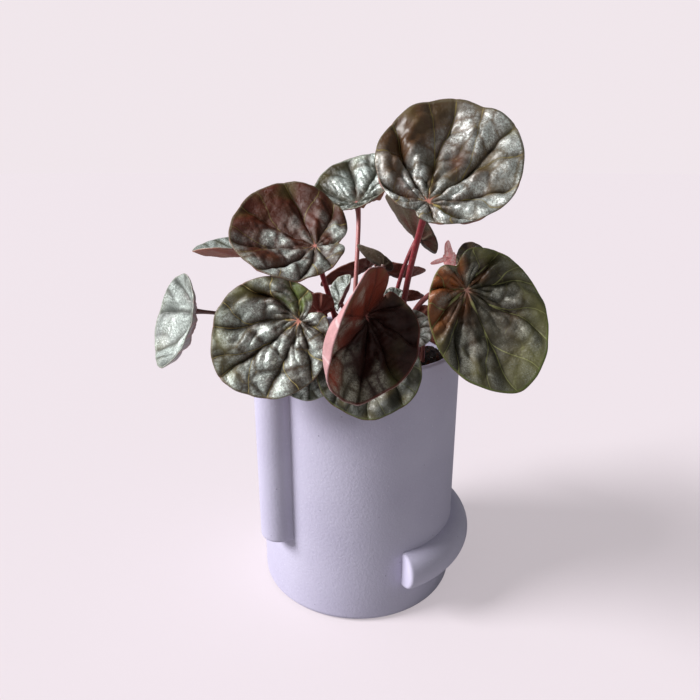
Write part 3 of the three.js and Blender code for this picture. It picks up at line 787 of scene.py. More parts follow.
@dataclass(frozen=True)
class Leaf:
    """One leaf: a quilted blade on its stalk.

    Its left side is at the left where the tip points up and the upper face looks at the eye. Angles
    are in degrees, and a pair of them is for the left and the right half.
    """

    name: str
    at: Place  # where the stalk meets the blade
    tip: Place
    faces: Place  # the way that the upper face looks
    width: float
    back: float  # how far the blade reaches behind its stalk
    root: tuple[float, float]  # where the stalk leaves the soil
    rise: float  # how far the stalk's curve holds on upwards
    reach: float  # how far it comes in square to the blade
    stalk: float  # the stalk's radius
    stem: Stem = Stem.PINK
    side: float = 0.0  # how far the blade's middle lies to the left of the stalk
    cup: float = 0.1  # how deep the blade cups, as a share of its size
    notch: float = 0.3  # depth of the notch between the back lobes, as a share of their reach
    notch_at: float = 180.0
    point: float = 0.04  # how far the tip is drawn out, as a share of its reach
    notch_spread: float = 0.28
    lap: float = 0.0  # how far the fold line bends behind the stalk
    rear: tuple[float, float, float, float] | None = None  # fold and curl of the right half's back, and
    # the two places along the fold line between which they come in
    fold: tuple[float, float] = (0.0, 0.0)  # how far the halves are turned up
    curl: tuple[float, float] = (0.0, 0.0)  # how far they turn on towards the rim
    turn: float = 0.0  # the fold line's turn from the midrib
    bow: float = 0.0  # how far the blade bends down at its two ends
    grid: Grid = Grid.LARGE
    finish: LeafFinish = LeafFinish()
    seed: int = 1
    quilt: float = 1.0  # how strong swellings and furrows are
    spacing: float = 6.5  # between the small swellings
    rib_depth: float = 1.1
    fork_depth: float = 1.6
    cross_depth: float = 0.22
    crumple: float = 0.8
    ragged: float = 1.0  # how uneven the outline is
    wavy: float = 1.0  # how much the rim goes up and down
    crest_width: float = 1.35  # how far from a vein the silver and painted sheen begin

    @property
    def length(self) -> float:
        """From the stalk to the tip."""
        return float(np.linalg.norm(np.subtract(self.tip, self.at)))

    @property
    def size(self) -> float:
        """The blade's mean radius."""
        return (self.length + self.back + self.width) / 4

    @property
    def axes(self) -> tuple[np.ndarray, np.ndarray, np.ndarray]:
        """The blade's directions.

        Returns:
            The directions along the midrib, to the left and out of the upper face.
        """
        along = unit(np.subtract(self.tip, self.at).astype(float))
        out = np.array(self.faces, float)
        out = unit(out - out.dot(along) * along)
        return along, np.cross(out, along), out

    def rim(self, angle: np.ndarray) -> np.ndarray:
        """How far the blade reaches from its stalk.

        Args:
            angle: Angles from the tip, in radians.

        Returns:
            The reach at each angle.
        """
        a, b = (self.length + self.back) / 2, self.width / 2
        cx, cy = (self.length - self.back) / 2, self.side
        c, s = np.cos(angle), np.sin(angle)
        p = (c / a) ** 2 + (s / b) ** 2
        q = -2 * cx * c / a**2 - 2 * cy * s / b**2
        k = (cx / a) ** 2 + (cy / b) ** 2 - 1
        oval = (-q + np.sqrt(q * q - 4 * p * k)) / (2 * p)
        off = (angle - math.radians(self.notch_at) + math.pi) % (2 * math.pi) - math.pi
        notched = 1 - self.notch * np.exp(-((off / self.notch_spread) ** 2))
        return oval * notched * (1 + self.point * np.exp(-((angle / TIP_SPREAD) ** 2)))

    def cells(self, part: int, low: float, high: float) -> np.ndarray:
        """Centres of the uneven swellings in one stretch between two veins.

        Args:
            part: The stretch's number, which seeds the draw.
            low: The angle of its one side, in radians.
            high: The angle of its other side.

        Returns:
            The centres on the flat blade, in millimetres along and across the midrib.
        """
        draw = np.random.default_rng(1000 * self.seed + part)
        middle = (low + high) / 2
        far = float(self.rim(np.array([middle]))[0])
        radius, centres = self.spacing * draw.uniform(0.3, 0.7), []
        while radius < far * 1.05:
            room = radius * abs(high - low)
            count = max(1, round(room / (self.spacing * 1.5)))
            for share in (np.arange(count) + 0.5) / count + draw.uniform(-0.22, 0.22, count) / count:
                turn = low + (high - low) * share
                reach = radius + self.spacing * draw.uniform(-0.35, 0.35)
                centres.append((reach * math.cos(turn), reach * math.sin(turn)))
            radius += self.spacing * draw.uniform(0.75, 1.35)
        return np.array(centres)

    def network(self, spoke: np.ndarray, s: np.ndarray, rim: np.ndarray) -> tuple[np.ndarray, ...]:
        """Distances to the nearest main vein, fork and cross vein, in millimetres.

        Args:
            spoke: Angles from the tip at the stalk, in radians.
            s: Shares of the way to the rim.
            rim: The rim's distance on each spoke.

        Returns:
            The three distances, signed for forks, and how far the forks have grown.
        """
        draw = np.random.default_rng(self.seed)
        start = draw.uniform(0.22, 0.5, 2 * SECTORS)
        top = draw.uniform(0.36, 0.64, 2 * SECTORS)
        angle = np.degrees(np.abs(spoke))
        k = np.clip(np.searchsorted(VEINS, angle, side="right") - 1, 0, SECTORS - 1)
        wide = VEINS[k + 1] - VEINS[k]
        across = np.clip((angle - VEINS[k]) / wide, 0, 1)
        chord = s * rim * np.radians(wide)
        sector = k + SECTORS * (spoke < 0)
        rib = np.where(k == SECTORS - 1, across, np.minimum(across, 1 - across)) * chord
        grown = smooth_step((s - start[sector]) / (1 - start[sector]))
        fork = (across - top[sector] * grown) * chord
        x, y = s * rim * np.cos(spoke), s * rim * np.sin(spoke)
        cross = np.full(spoke.shape, FAR)
        for part in range(2 * SECTORS):
            side = 1 if part < SECTORS else -1
            ends = side * np.radians(VEINS[part % SECTORS : part % SECTORS + 2])
            centres = self.cells(part, ends[0], ends[1])
            here = sector == part
            if len(centres) < 2 or not here.any():
                continue
            away = np.hypot(x[here][:, None] - centres[:, 0], y[here][:, None] - centres[:, 1])
            nearest = np.sort(away, axis=1)
            cross[here] = (nearest[:, 1] - nearest[:, 0]) / 2
        return rib, fork, cross, grown

    def roominess(self, rim: np.ndarray) -> np.ndarray:
        """How much of its full height a swelling has, less where the rim is near the stalk."""
        return np.minimum(1.0, rim / (FULL_REACH * self.width)) ** ROOM_POWER

    def quilting(self, spoke: np.ndarray, s: np.ndarray, rim: np.ndarray) -> np.ndarray:
        """The broad swell between main veins.

        Args:
            spoke: Angles from the tip at the stalk, in radians.
            s: Shares of the way to the rim.
            rim: The rim's distance on each spoke.

        Returns:
            The heights over the mean surface.
        """
        angle = np.degrees(np.abs(spoke))
        k = np.clip(np.searchsorted(VEINS, angle - 1e-9) - 1, 0, SECTORS - 1)
        across = np.clip((angle - VEINS[k]) / (VEINS[k + 1] - VEINS[k]), 0, 1)
        draw = np.random.default_rng(self.seed + 31)
        sector = k + SECTORS * (spoke < 0)
        lean = draw.uniform(0.72, 1.4, 2 * SECTORS)[sector]
        fullness = draw.uniform(0.75, 1.2, 2 * SECTORS)[sector]
        swell = fullness * np.sin(math.pi * across**lean) - PUFF_SINK
        fade = 1 - (1 - PUFF_RIM * self.wavy) * s**6
        return self.quilt * PUFF * self.width * self.roominess(rim) * swell * s**1.35 * fade

    def relief(
        self, spoke: np.ndarray, s: np.ndarray, rim: np.ndarray, x: np.ndarray, y: np.ndarray
    ) -> np.ndarray:
        """The finer furrows and crumpling on top of the quilting.

        Args:
            spoke: Angles from the tip at the stalk, in radians.
            s: Shares of the way to the rim.
            rim: The rim's distance on each spoke.
            x: Places along the midrib.
            y: Places across it.

        Returns:
            The heights over the quilting.
        """
        rib, fork, cross, grown = self.network(spoke, s, rim)
        scale = min(1.0, self.width / LARGE_WIDTH) ** 1.2
        settled = smooth_step(s / FLAT_MIDDLE)
        full = smooth_step((s - CROSS_FROM) / CROSS_RISE)
        depth = self.rib_depth * np.exp(-np.abs(rib) / (RIB_REACH * scale)) * smooth_step(s / RIB_FULL)
        depth += self.fork_depth * np.exp(-np.abs(fork) / (FORK_REACH * scale)) * grown
        depth += self.cross_depth * np.exp(-((cross / (CROSS_REACH * scale)) ** 2)) * full
        arc = spoke * 0.6 * rim.mean()
        crumple = self.crumple * Ripple(self.seed + 11, CRUMPLE_LENGTH).at(s * rim, 1.4 * arc)
        crumple = crumple + FINE_CRUMPLE * Ripple(self.seed + 12, FINE_LENGTH).at(x, y)
        fade = 1 - (1 - RELIEF_RIM * self.wavy) * s**8
        return self.quilt * scale * self.roominess(rim) * (crumple * settled - depth) * fade

    def folded(self, sign: np.ndarray, foldwise: np.ndarray) -> tuple[np.ndarray, np.ndarray]:
        """The fold of the half that each point lies on, and its curl.

        Args:
            sign: 1 on the left half and -1 on the right half.
            foldwise: How far along the fold line it lies.

        Returns:
            The folds in radians, and the curls in radians a millimetre.
        """
        fold = np.where(sign > 0, self.fold[0], self.fold[1]).astype(float)
        curl = np.where(sign > 0, self.curl[0], self.curl[1]).astype(float)
        if self.rear:
            rear_fold, rear_curl, start, end = self.rear
            share = (sign < 0) * (1 - smooth_step((foldwise - start) / (end - start)))
            fold, curl = fold + (rear_fold - fold) * share, curl + (rear_curl - curl) * share
        return np.radians(fold), np.radians(curl + SLIGHT) / (self.width / 2)

    def middle(self, spoke: np.ndarray, s: np.ndarray) -> tuple[np.ndarray, np.ndarray, np.ndarray]:
        """Points of the blade's middle surface.

        Args:
            spoke: Angles from the tip at the stalk, in radians.
            s: Shares of the way to the rim.

        Returns:
            The points, and the flat blade's coordinates along and across its midrib.
        """
        draw = np.random.default_rng(self.seed + 5)
        p = draw.uniform(0, 2 * math.pi, 5)
        along, left, out = self.axes
        bend = SWEEP * np.sin(spoke)
        rim = self.rim(spoke - bend)
        uneven = sum(depth * np.sin(bays * spoke + phase) for (bays, depth), phase in zip(NICKS, p))
        radius = s * rim * (1 + self.ragged * uneven * s**2)
        along_rim = 0.5 * np.cos(spoke) + 0.8 * np.sin(spoke)
        wander = WANDER * Ripple(self.seed + 41, 1.0, 6).at(0.9 * s, along_rim)
        course = spoke - bend * s + wander * 4 * s * (1 - s)
        x, y = radius * np.cos(course), radius * np.sin(course)
        turn, lap = math.radians(self.turn), math.radians(self.lap)
        off = (course - turn + math.pi) % (2 * math.pi) - math.pi
        sign = np.where((off > 0) & (off < math.pi - lap), 1, -1)
        widened = 1 - sign * lap / math.pi
        aside = (sign * off) % (2 * math.pi) / widened
        foldwise, away = radius * np.cos(aside), radius * np.abs(np.sin(aside))
        fold, curl = self.folded(sign, foldwise)
        flat, raised = np.sin(curl * away) / curl, (1 - np.cos(curl * away)) / curl
        soft = (np.hypot(away, CREASE) - CREASE) / np.maximum(away, 1e-6)
        sideways = flat * np.cos(fold) - raised * np.sin(fold)
        height = soft * flat * np.sin(fold) + raised * np.cos(fold)
        height += self.cup * (x * x + y * y - self.length * x) / self.size
        height += self.bow * (x * np.abs(x) / self.length - x)
        height += self.wavy * WAVE * s**3 * np.sin(WAVES * spoke)
        frilled = zip(FRILLS, p[3:])
        frill = sum(share * np.sin(frills * spoke + phase) for (frills, share), phase in frilled)
        height += FRILL * self.width * self.wavy * s**5 * frill
        height += self.quilting(spoke, s, rim) + self.relief(spoke, s, rim, x, y)
        place = np.array(self.at, float) + height[..., None] * out
        spread = np.hypot(foldwise, sideways)
        heading = turn + sign * widened * np.arctan2(sideways, foldwise)
        place = place + (spread * np.cos(heading))[..., None] * along
        place = place + (spread * np.sin(heading))[..., None] * left
        return place, x, y

    def spokes(self) -> np.ndarray:
        """The blade's spokes.

        Returns:
            Their angles in radians, once round from the tip.
        """
        steps = self.grid.value[0]
        sectors = zip(VEINS[:-1], VEINS[1:])
        half = np.concatenate([np.linspace(low, high, steps, endpoint=False) for low, high in sectors])
        return np.radians(np.concatenate([half, [180.0], -half[:0:-1]]))

    def seat(self) -> tuple[np.ndarray, np.ndarray]:
        """Where the stalk carries the blade.

        Returns:
            The blade's point over its stalk, and the way that its upper face looks there.
        """
        angles = np.array([-0.25, 0.25, 0.75, 1.25]) * math.pi
        near, _, _ = self.middle(angles, np.full(4, 0.15))
        centre, _, _ = self.middle(np.array([0.0]), np.array([0.0]))
        return centre[0], unit(np.cross(near[2] - near[0], near[3] - near[1]))

    def blade(self, piece_name: str) -> bpy.types.Object:
        """Builds the blade's closed mesh with the attributes that its finish reads.

        Args:
            piece_name: The piece's name.

        Returns:
            The mesh object.
        """
        angles, rings = self.spokes(), self.grid.value[1]
        share = (np.arange(1, rings + 1) / rings) ** 0.9
        spoke, s = np.meshgrid(angles, share)
        place, x, y = self.middle(spoke, s)
        centre, outwards = self.seat()
        whole = np.concatenate([np.broadcast_to(centre, place[:1].shape), place])
        radial = np.gradient(whole, axis=0)[1:]
        normal = unit(np.cross(radial, np.roll(place, -1, axis=1) - np.roll(place, 1, axis=1)))
        thick = BLADE_THICK / 2 * (1 - (1 - EDGE_THIN) * s**4)[..., None]
        edge = place[-1] + unit(radial[-1]) * BLADE_THICK / 2 * EDGE_THIN * 0.8
        upper, lower = place + normal * thick, place - normal * thick
        top, low = centre + outwards * BLADE_THICK / 2, centre - outwards * BLADE_THICK / 2
        points = np.concatenate([
            top[None], upper.reshape(-1, 3), edge, lower[::-1].reshape(-1, 3), low[None]
        ])
        piece = mesh_object(piece_name, points, closed_faces(2 * rings + 1, len(angles)))
        self._mark(piece, spoke, s, x, y)
        return piece

    def _mark(
        self, piece: bpy.types.Object, spoke: np.ndarray, s: np.ndarray, x: np.ndarray, y: np.ndarray
    ) -> None:
        """Stores on the vertices what the finish reads.

        Args:
            piece: The blade.
            spoke: Angles from the tip at the stalk, in radians.
            s: Shares of the way to the rim.
            x: Places along the midrib.
            y: Places across it.
        """
        finish, size = self.finish, self.size
        rib, fork, cross, grown = self.network(spoke, s, self.rim(spoke - SWEEP * np.sin(spoke)))
        cross = np.where(s < BARE_STAR, FAR, cross)
        main = np.minimum(rib, np.abs(fork) + UNGROWN * (1 - grown))
        nearest = np.minimum(main, cross * CROSS_FAINT + CROSS_BACK)
        scale = min(1.0, self.width / LARGE_WIDTH) ** 0.7
        crest = 1 - np.exp(-((nearest / (self.crest_width * scale)) ** 2))
        u, v = (x - (self.length - self.back) / 2) / size, (y - self.side) / size
        streaks = Ripple(self.seed + 21, finish.shine_length * size)
        uneven = streaks.at(0.45 * s * size, spoke * 0.5 * size)
        clouds = Ripple(self.seed + 22, finish.cloud_length * size).at(x, y)

        def leaning(share: float, lean: tuple[float, float]) -> np.ndarray:
            """A share that changes over the blade."""
            return share + lean[0] * u + lean[1] * v

        def spread(values: np.ndarray, centre: float = 0.0) -> np.ndarray:
            """The same values for the upper face, the rim and the lower face."""
            upside, underside = values.ravel(), values[::-1].ravel()
            return np.concatenate([[centre], upside, values[-1], underside, [centre]])

        # The silver and its painted sheen: on the crests, leaning towards the side that faces the
        # light.
        shine = leaning(finish.shine, finish.shine_lean) + finish.shine_uneven * uneven
        warmth = leaning(finish.warmth, finish.warmth_lean) + finish.warmth_uneven * clouds
        raised = finish.vein_shine + (1 - finish.vein_shine) * crest**finish.crest_power
        silver_and_sheen = smooth_step(shine) * raised
        edge = leaning(finish.margin_share, finish.margin_lean) + finish.margin_uneven * clouds
        margin = np.clip(edge, 0, 1) * smooth_step((s - finish.margin_from) / finish.margin_rise)
        patch = np.zeros(s.shape)
        if finish.patch_size:
            gap = np.hypot(u - finish.patch_at[0], v - finish.patch_at[1])
            patch = 1 - smooth_step(gap / finish.patch_size - 0.5 + finish.patch_uneven * uneven)
        silver_and_sheen = silver_and_sheen * (1 - finish.dulled * patch) * (1 - finish.dulled * margin)
        face, edge_on = s.size, s.shape[1]
        upper = np.repeat([1.0, 0.5, 0.0], [1 + face, edge_on, face + 1])
        for name, *parts in (
            ("veins", spread(rib), spread(fork), spread(cross, FAR)),
            ("blade", spread(s), spread(silver_and_sheen), spread(np.clip(warmth, 0, 1))),
            ("flow", spread(x), spread(y), np.full(upper.shape, 7.0 * self.seed)),
            ("tints", spread(margin), spread(patch), upper),
        ):
            store(piece, name, np.stack(parts, -1))

    def dress(self, piece: bpy.types.Object, effects: Effects) -> None:
        """Gives the blade its finish."""
        piece.data.materials.append(self.finish.make(f"leaf {self.name}", effects))

    def path(self) -> np.ndarray:
        """The stalk's middle line.

        Returns:
            Its points, from its foot in the soil to the blade's lower face.
        """
        centre, out = self.seat()
        end = centre - out * BLADE_THICK / 2
        foot = np.array([*self.root, SOIL_TOP - STALK_SUNK])
        start = np.array([*self.root, SOIL_TOP + STALK_CLEAR])
        lift = start + np.array([0, 0, self.rise])
        enter = end - out * self.reach
        t = np.linspace(0, 1, STALK_STEPS)[:, None]
        curve = (1 - t) ** 3 * start + 3 * (1 - t) ** 2 * t * lift
        curve = curve + 3 * (1 - t) * t * t * enter + t**3 * end
        return np.concatenate([np.linspace(foot, start, 5)[:-1], curve])


@dataclass
class StalkMaker:
    """Sweeps stalks along their lines, a little stouter at the foot and flared under the blade."""

    sides: int = 16
    foot_swell: float = 0.35
    foot_fade: float = 5.0
    flare: float = 0.75
    flare_fade: float = 26.0

    def __post_init__(self) -> None:
        """Builds the sweep's node tree."""
        inputs = {
            "Radius": ("Float", 0.001), "Foot swell": ("Float", 0.0), "Flare": ("Float", 0.0),
            "Sides": ("Int", 12), "Material": ("Material", None),
        }
        wires, get, put = geometry_tree("Stalk sweep", inputs)
        line = wires.add("GeometryNodeMeshToCurve", {"Mesh": get.outputs["Geometry"]}).outputs[0]
        part = wires.add("GeometryNodeSplineParameter").outputs["Factor"]
        low = wires.math("POWER", wires.math("SUBTRACT", 1.0, part), self.foot_fade)
        high = wires.math("POWER", part, self.flare_fade)
        low = wires.times(low, get.outputs["Foot swell"])
        swell = wires.plus(low, wires.times(high, get.outputs["Flare"]))
        radius = wires.times(get.outputs["Radius"], wires.plus(swell, 1.0))
        kept = wires.keep(line, "along", part, "POINT")
        feeds = {"Resolution": get.outputs["Sides"], "Radius": 1.0}
        ring = wires.add("GeometryNodeCurvePrimitiveCircle", feeds).outputs[0]
        feeds = {"Curve": kept, "Profile Curve": ring, "Scale": radius, "Fill Caps": True}
        sweep = wires.add("GeometryNodeCurveToMesh", feeds).outputs[0]
        wires.end(sweep, get, put)
        self.tree = wires.tree

    def make(self, name: str, leaf: Leaf, material: bpy.types.Material) -> bpy.types.Object:
        """Makes one stalk.

        Args:
            name: The piece's name.
            leaf: The leaf that it carries.
            material: Its finish.

        Returns:
            The mesh object.
        """
        line = leaf.path()
        mesh = bpy.data.meshes.new(name)
        mesh.from_pydata((line * MM).tolist(), [(i, i + 1) for i in range(len(line) - 1)], [])
        piece = in_scene(name, mesh)
        values = {
            "Radius": leaf.stalk * MM, "Foot swell": self.foot_swell, "Flare": self.flare,
            "Sides": self.sides, "Material": material,
        }
        baked(piece, self.tree, values)
        piece.data.shade_smooth()
        return piece


BRONZE = LeafFinish()
SILVER = LeafFinish(
    ground=(0.085, 0.088, 0.062), furrow=(0.020, 0.020, 0.011), silver_and_sheen=(0.78, 0.86, 0.82), shine=0.8,
    warmth=0.02, line=(0.09, 0.10, 0.05), rim=(0.30, 0.32, 0.27), furrow_share=0.9, metal=0.6,
)
GREEN = LeafFinish(
    ground=(0.044, 0.036, 0.013), furrow=(0.014, 0.010, 0.004), silver_and_sheen=(0.30, 0.30, 0.22), shine=0.36,
    warmth=0.10, line=(0.19, 0.20, 0.04), rim=(0.12, 0.15, 0.035), star=(0.62, 0.28, 0.24),
    furrow_share=0.3, line_share=0.85,
)
MAROON = LeafFinish(
    ground=(0.018, 0.006, 0.004), furrow=(0.007, 0.003, 0.002), silver_and_sheen=(0.15, 0.14, 0.10), shine=0.26,
    warmth=0.35, line=(0.06, 0.03, 0.015), rim=(0.12, 0.06, 0.03), under=(0.62, 0.25, 0.24),
    under_line=(0.78, 0.50, 0.47), furrow_share=0.3, line_share=0.3,
)
DUSKY = replace(MAROON, under=(0.27, 0.085, 0.060), under_line=(0.32, 0.12, 0.09))
SHADED = replace(
    MAROON, ground=(0.034, 0.028, 0.014), under=(0.080, 0.055, 0.034), under_line=(0.105, 0.085, 0.055),
)

LEAVES = (
    Leaf(
        "01_top", (23, -48, 176), (53, -34, 200), (-0.1, -0.8, 0.6), 49, 9, (17, -14), 30, 26, 1.2,
        stem=Stem.CRIMSON, side=6, cup=0.16, seed=3, quilt=1.2, wavy=0.6,
        finish=replace(
            BRONZE, ground=(0.094, 0.064, 0.027), silver_and_sheen=(0.95, 1.0, 0.97), shine=0.58,
            # The silver leans to the right and lower rim as a painted sheen, where the cupped rim faces
            # the light.
            shine_lean=(-0.25, -0.85), warmth=0.35, warmth_lean=(0.0, 0.2), furrow_share=0.3,
            gloss=0.35, rough=0.22, vein_width=0.36, line_share=0.85, metal=0.95,
        ),
    ),
    Leaf(
        "02_back_centre", (-1, 22, 172), (10, 40, 193), (-0.4, -0.4, 0.9), 40, 7, (-2, 4), 38, 8, 1.0,
        side=6, cup=0.22, notch=0.12, seed=5, quilt=1.6, cross_depth=0.0, fork_depth=1.0, rib_depth=0.8,
        spacing=30, crumple=0.25, wavy=0.2, crest_width=2.2,
        finish=replace(
            SILVER, rough=0.24, shine=0.85, shine_lean=(0.0, -0.6), warmth=0.1,
            ground=(0.045, 0.040, 0.020), under=(0.34, 0.11, 0.05), under_line=(0.38, 0.15, 0.08),
            furrow_share=0.25, line_share=0.08, metal=0.85,
        ),
    ),
    Leaf(
        "03_upper_left", (-16, -30, 159), (-46, -37, 162), (0.2, -0.6, 0.76), 45, 12, (-8, -8), 24, 14,
        1.1, stem=Stem.CRIMSON, side=-5, cup=0.2, seed=8, rib_depth=0.7, fork_depth=0.8,
        cross_depth=0.1, crumple=0.45, quilt=1.1, crest_width=1.7,
        finish=replace(
            BRONZE, ground=(0.046, 0.020, 0.009), warm=(0.095, 0.018, 0.007), gloss=0.06, shine=0.24,
            # The silver leans to the lower lobe as a painted sheen, where it curls up into the light.
            shine_lean=(-0.1, 0.95), warmth=0.65, warmth_lean=(0.4, -0.4),
        ),
    ),
    Leaf(
        "04_lower_left", (-21, -47, 135), (-49, -50, 115), (-0.12, -0.96, 0.24), 43, 10, (-11, -14), 22,
        14, 1.1, stem=Stem.CRIMSON, side=-1, cup=0.14, notch=0.6, seed=13, quilt=1.15, crest_width=1.9,
        finish=replace(
            BRONZE, ground=(0.052, 0.031, 0.013), shine=0.74, shine_lean=(0.1, 0.3), warmth=0.12,
            furrow=(0.022, 0.010, 0.004), rough=0.28, vein_width=0.36, line=(0.45, 0.36, 0.12),
            line_share=0.85, furrow_share=0.85, margin_share=0.1, margin_lean=(0.1, -0.5),
            patch=(0.13, 0.17, 0.035), patch_at=(-0.85, -0.34), patch_size=0.27,
        ),
    ),
    Leaf(
        "05_far_left", (-71, -5, 128), (-85, -13, 105), (-0.76, -0.29, 0.58), 38, 12, (-18, 1), 14, 18,
        0.8, stem=Stem.BROWN, side=-6, cup=0.37, seed=21, quilt=0.6, cross_depth=0.0, fork_depth=0.3,
        rib_depth=0.6, spacing=30, wavy=0.5,
        finish=replace(
            SILVER, ground=(0.13, 0.14, 0.125), silver_and_sheen=(0.64, 0.70, 0.66), metal=0.5, shine=0.75,
            line_share=0.1, furrow_share=0.2, under=(0.50, 0.46, 0.43),
        ),
    ),
    Leaf(
        "06_left", (-47, 4, 151), (-70, 0, 153), (0, -0.1, 1), 24, 8, (-3, -3), 34, 10, 1.0,
        stem=Stem.CRIMSON, fold=(28, 28), grid=Grid.MIDDLE, seed=34, quilt=0.5, wavy=0.4,
        # Bright silver with little metal: a painted sheen on a blade that faces up into the light.
        finish=replace(SILVER, shine=1.2, metal=0.25, furrow_share=0.3, under=(0.42, 0.14, 0.09)),
    ),
    Leaf(
        "07_front", (2.1, -60, 140.1), (-0.6, -78.8, 116.2), (0.11, -0.85, 0.7), 52.4, 16.8, (1, -14),
        34, 12, 1.1, stem=Stem.CRIMSON, side=-7.1, fold=(-4.4, -5.1), curl=(9.3, 112), turn=20, lap=60,
        rear=(85, 0, -1.8, 20.5), notch=0.38, notch_at=170, notch_spread=0.6, cup=0.0, seed=55,
        quilt=0.9,
        finish=replace(
            # The warm red is partly the leaf's own red and partly painted light shining through the
            # flap; the bright red patch at the lower left is a painted glow of that light, and the pale
            # silver a painted sheen.
            MAROON, ground=(0.036, 0.008, 0.005), warm=(0.22, 0.029, 0.012), warmth=0.25,
            warmth_lean=(-1.0, -1.3), silver_and_sheen=(0.58, 0.54, 0.44), metal=0.1, shine=-0.06,
            shine_lean=(1.3, -1.1), gloss=0.05, rough=0.5, under=(0.64, 0.34, 0.35),
            under_line=(0.80, 0.62, 0.63), rim=(0.13, 0.03, 0.02), patch=(0.50, 0.07, 0.03),
            patch_at=(0.62, -0.45), patch_size=0.34,
        ),
    ),
    Leaf(
        "08_front_low", (4, -46, 124), (4, -57, 102), (0, -0.9, 0.45), 38, 8, (6, -21), 12, 8, 0.9,
        seed=89, quilt=0.8,
        finish=replace(
            GREEN, ground=(0.030, 0.028, 0.017), silver_and_sheen=(0.38, 0.40, 0.37), shine=0.42, warmth=0.0,
            line=(0.11, 0.12, 0.05), rim=(0.085, 0.095, 0.035),
        ),
    ),
    Leaf(
        "09_front_left_low", (-19, -45, 117), (-18, -48, 105), (0, -0.95, 0.3), 24, 7, (-13, -24), 10,
        6, 0.8, cup=0.05, grid=Grid.SMALL, seed=90, finish=replace(SILVER, shine=0.8),
    ),
    Leaf(
        "10_right", (40, -35, 144), (58, -48, 110), (-0.05, -0.9, 0.45), 42, 13, (19, -9), 36, 10, 1.1,
        side=2, cup=0.2, seed=144, quilt=1.1, rib_depth=0.5, fork_depth=0.9, wavy=0.5, crest_width=1.7,
        finish=replace(
            GREEN, warmth=0.05, ground=(0.050, 0.040, 0.021), silver_and_sheen=(0.36, 0.36, 0.31), shine=0.42,
            line=(0.24, 0.24, 0.09), vein_width=0.35, line_share=0.95, patch_at=(-0.85, -0.55),
            patch_size=0.48, patch=(0.24, 0.070, 0.018), margin_share=0.35, margin_lean=(0.1, 0.35),
        ),
    ),
    Leaf(
        "11_right_back", (45, -13, 148), (46, 0, 157), (0, -0.5, 0.86), 14, 6, (22, -4), 18, 10, 0.9,
        side=-2, grid=Grid.SMALL, seed=145, finish=replace(MAROON, warmth=0.2),
    ),
    Leaf(
        "12_behind_top", (25.5, -2, 159), (12, 6, 175), (0.6, 0.35, 0.7), 26, 9, (13, -1), 24, 6, 0.9,
        stem=Stem.CRIMSON, fold=(12, 12), notch=0.0, grid=Grid.MIDDLE, seed=146, quilt=0.35,
        crumple=0.3, wavy=0.3,
        finish=replace(
            SHADED, patch=(0.070, 0.022, 0.014), patch_at=(-0.4, 0.0), patch_size=0.7, patch_below=1.0,
        ),
    ),
    Leaf(
        "13_mid_left_back", (11, 2, 147), (2, 4, 153), (-0.3, 0.55, 0.8), 10, 4, (6, 3), 18, 8, 0.7,
        stem=Stem.BROWN, notch=0.0, point=0.3, fold=(20, 20), grid=Grid.SMALL, seed=147, quilt=0.5,
        wavy=0.4, finish=SHADED,
    ),
    Leaf(
        "14_mid_right_back", (12.5, 14, 142), (30, 16, 142), (0, 0.45, 0.9), 18, 6, (10, 10), 18, 8,
        0.8, stem=Stem.BROWN, fold=(15, 15), bow=0.3, grid=Grid.MIDDLE, seed=148, quilt=0.5, wavy=0.4,
        finish=DUSKY,
    ),
    Leaf(
        "15_mid_left", (4, 26, 142), (-17, 24, 134), (0, 0.45, 0.9), 20, 6, (1, 14), 18, 8, 0.8,
        stem=Stem.BROWN, fold=(15, 15), grid=Grid.MIDDLE, seed=149, quilt=0.5, wavy=0.4, finish=DUSKY,
    ),
    Leaf(
        "16_young_silver", (-8, -6, 132), (-4, -2, 143), (-0.8, -0.55, 0.3), 14, 4, (-4.5, -8.5), 12, 3,
        0.7, fold=(35, 35), grid=Grid.SMALL, seed=150, finish=replace(SILVER, shine=0.9),
    ),
    Leaf(
        "17_right_of_front", (18, -32, 127), (27, -36, 125), (0.2, -0.5, 0.8), 22, 6, (14, -22), 10, 6,
        0.8, fold=(10, 10), grid=Grid.SMALL, seed=151, cross_depth=0.05,
        finish=replace(SILVER, ground=(0.12, 0.075, 0.055), shine=0.45),
    ),
    Leaf(
        "18_young_curled", (15, -8, 133), (18, -9, 138), (-0.3, -0.7, 0.6), 12, 4, (12, -7), 10, 3, 0.7,
        fold=(20, 20), grid=Grid.SMALL, seed=152, finish=replace(SILVER, shine=0.7),
    ),
    Leaf(
        "19_right_low", (27, -14, 128), (33, -16, 117), (0.6, 0.6, 0.4), 18, 5, (26, -10), 10, 4, 0.8,
        fold=(10, 10), grid=Grid.SMALL, seed=153, finish=DUSKY,
    ),
    Leaf(
        "20_right_mid", (19, 6, 131), (29, 8, 132), (0, 0.45, 0.9), 14, 4, (17, 5), 14, 4, 0.7,
        fold=(15, 15), grid=Grid.SMALL, seed=154, finish=DUSKY,
    ),
    Leaf(
        "21_left_low", (-16, -16, 131), (-23, -18, 135), (-0.2, 0.6, 0.75), 18, 5, (-18, -12), 12, 4,
        0.8, fold=(15, 15), grid=Grid.SMALL, seed=155, finish=DUSKY,
    ),
    Leaf(
        "22_back_left", (-37, 26, 120), (-55, 42, 105), (-0.5, 0.5, 0.7), 29, 8, (-10, 14), 18, 10, 1.0,
        cup=0.15, grid=Grid.MIDDLE, seed=156, finish=replace(BRONZE, shine=0.55),
    ),
    Leaf(
        "23_back_right", (8, 42, 119), (12, 62, 104), (0.1, 0.65, 0.75), 29, 6, (5, 20), 16, 10, 1.0,
        cup=0.15, grid=Grid.MIDDLE, seed=157, finish=replace(GREEN, shine=0.5),
    ),
)

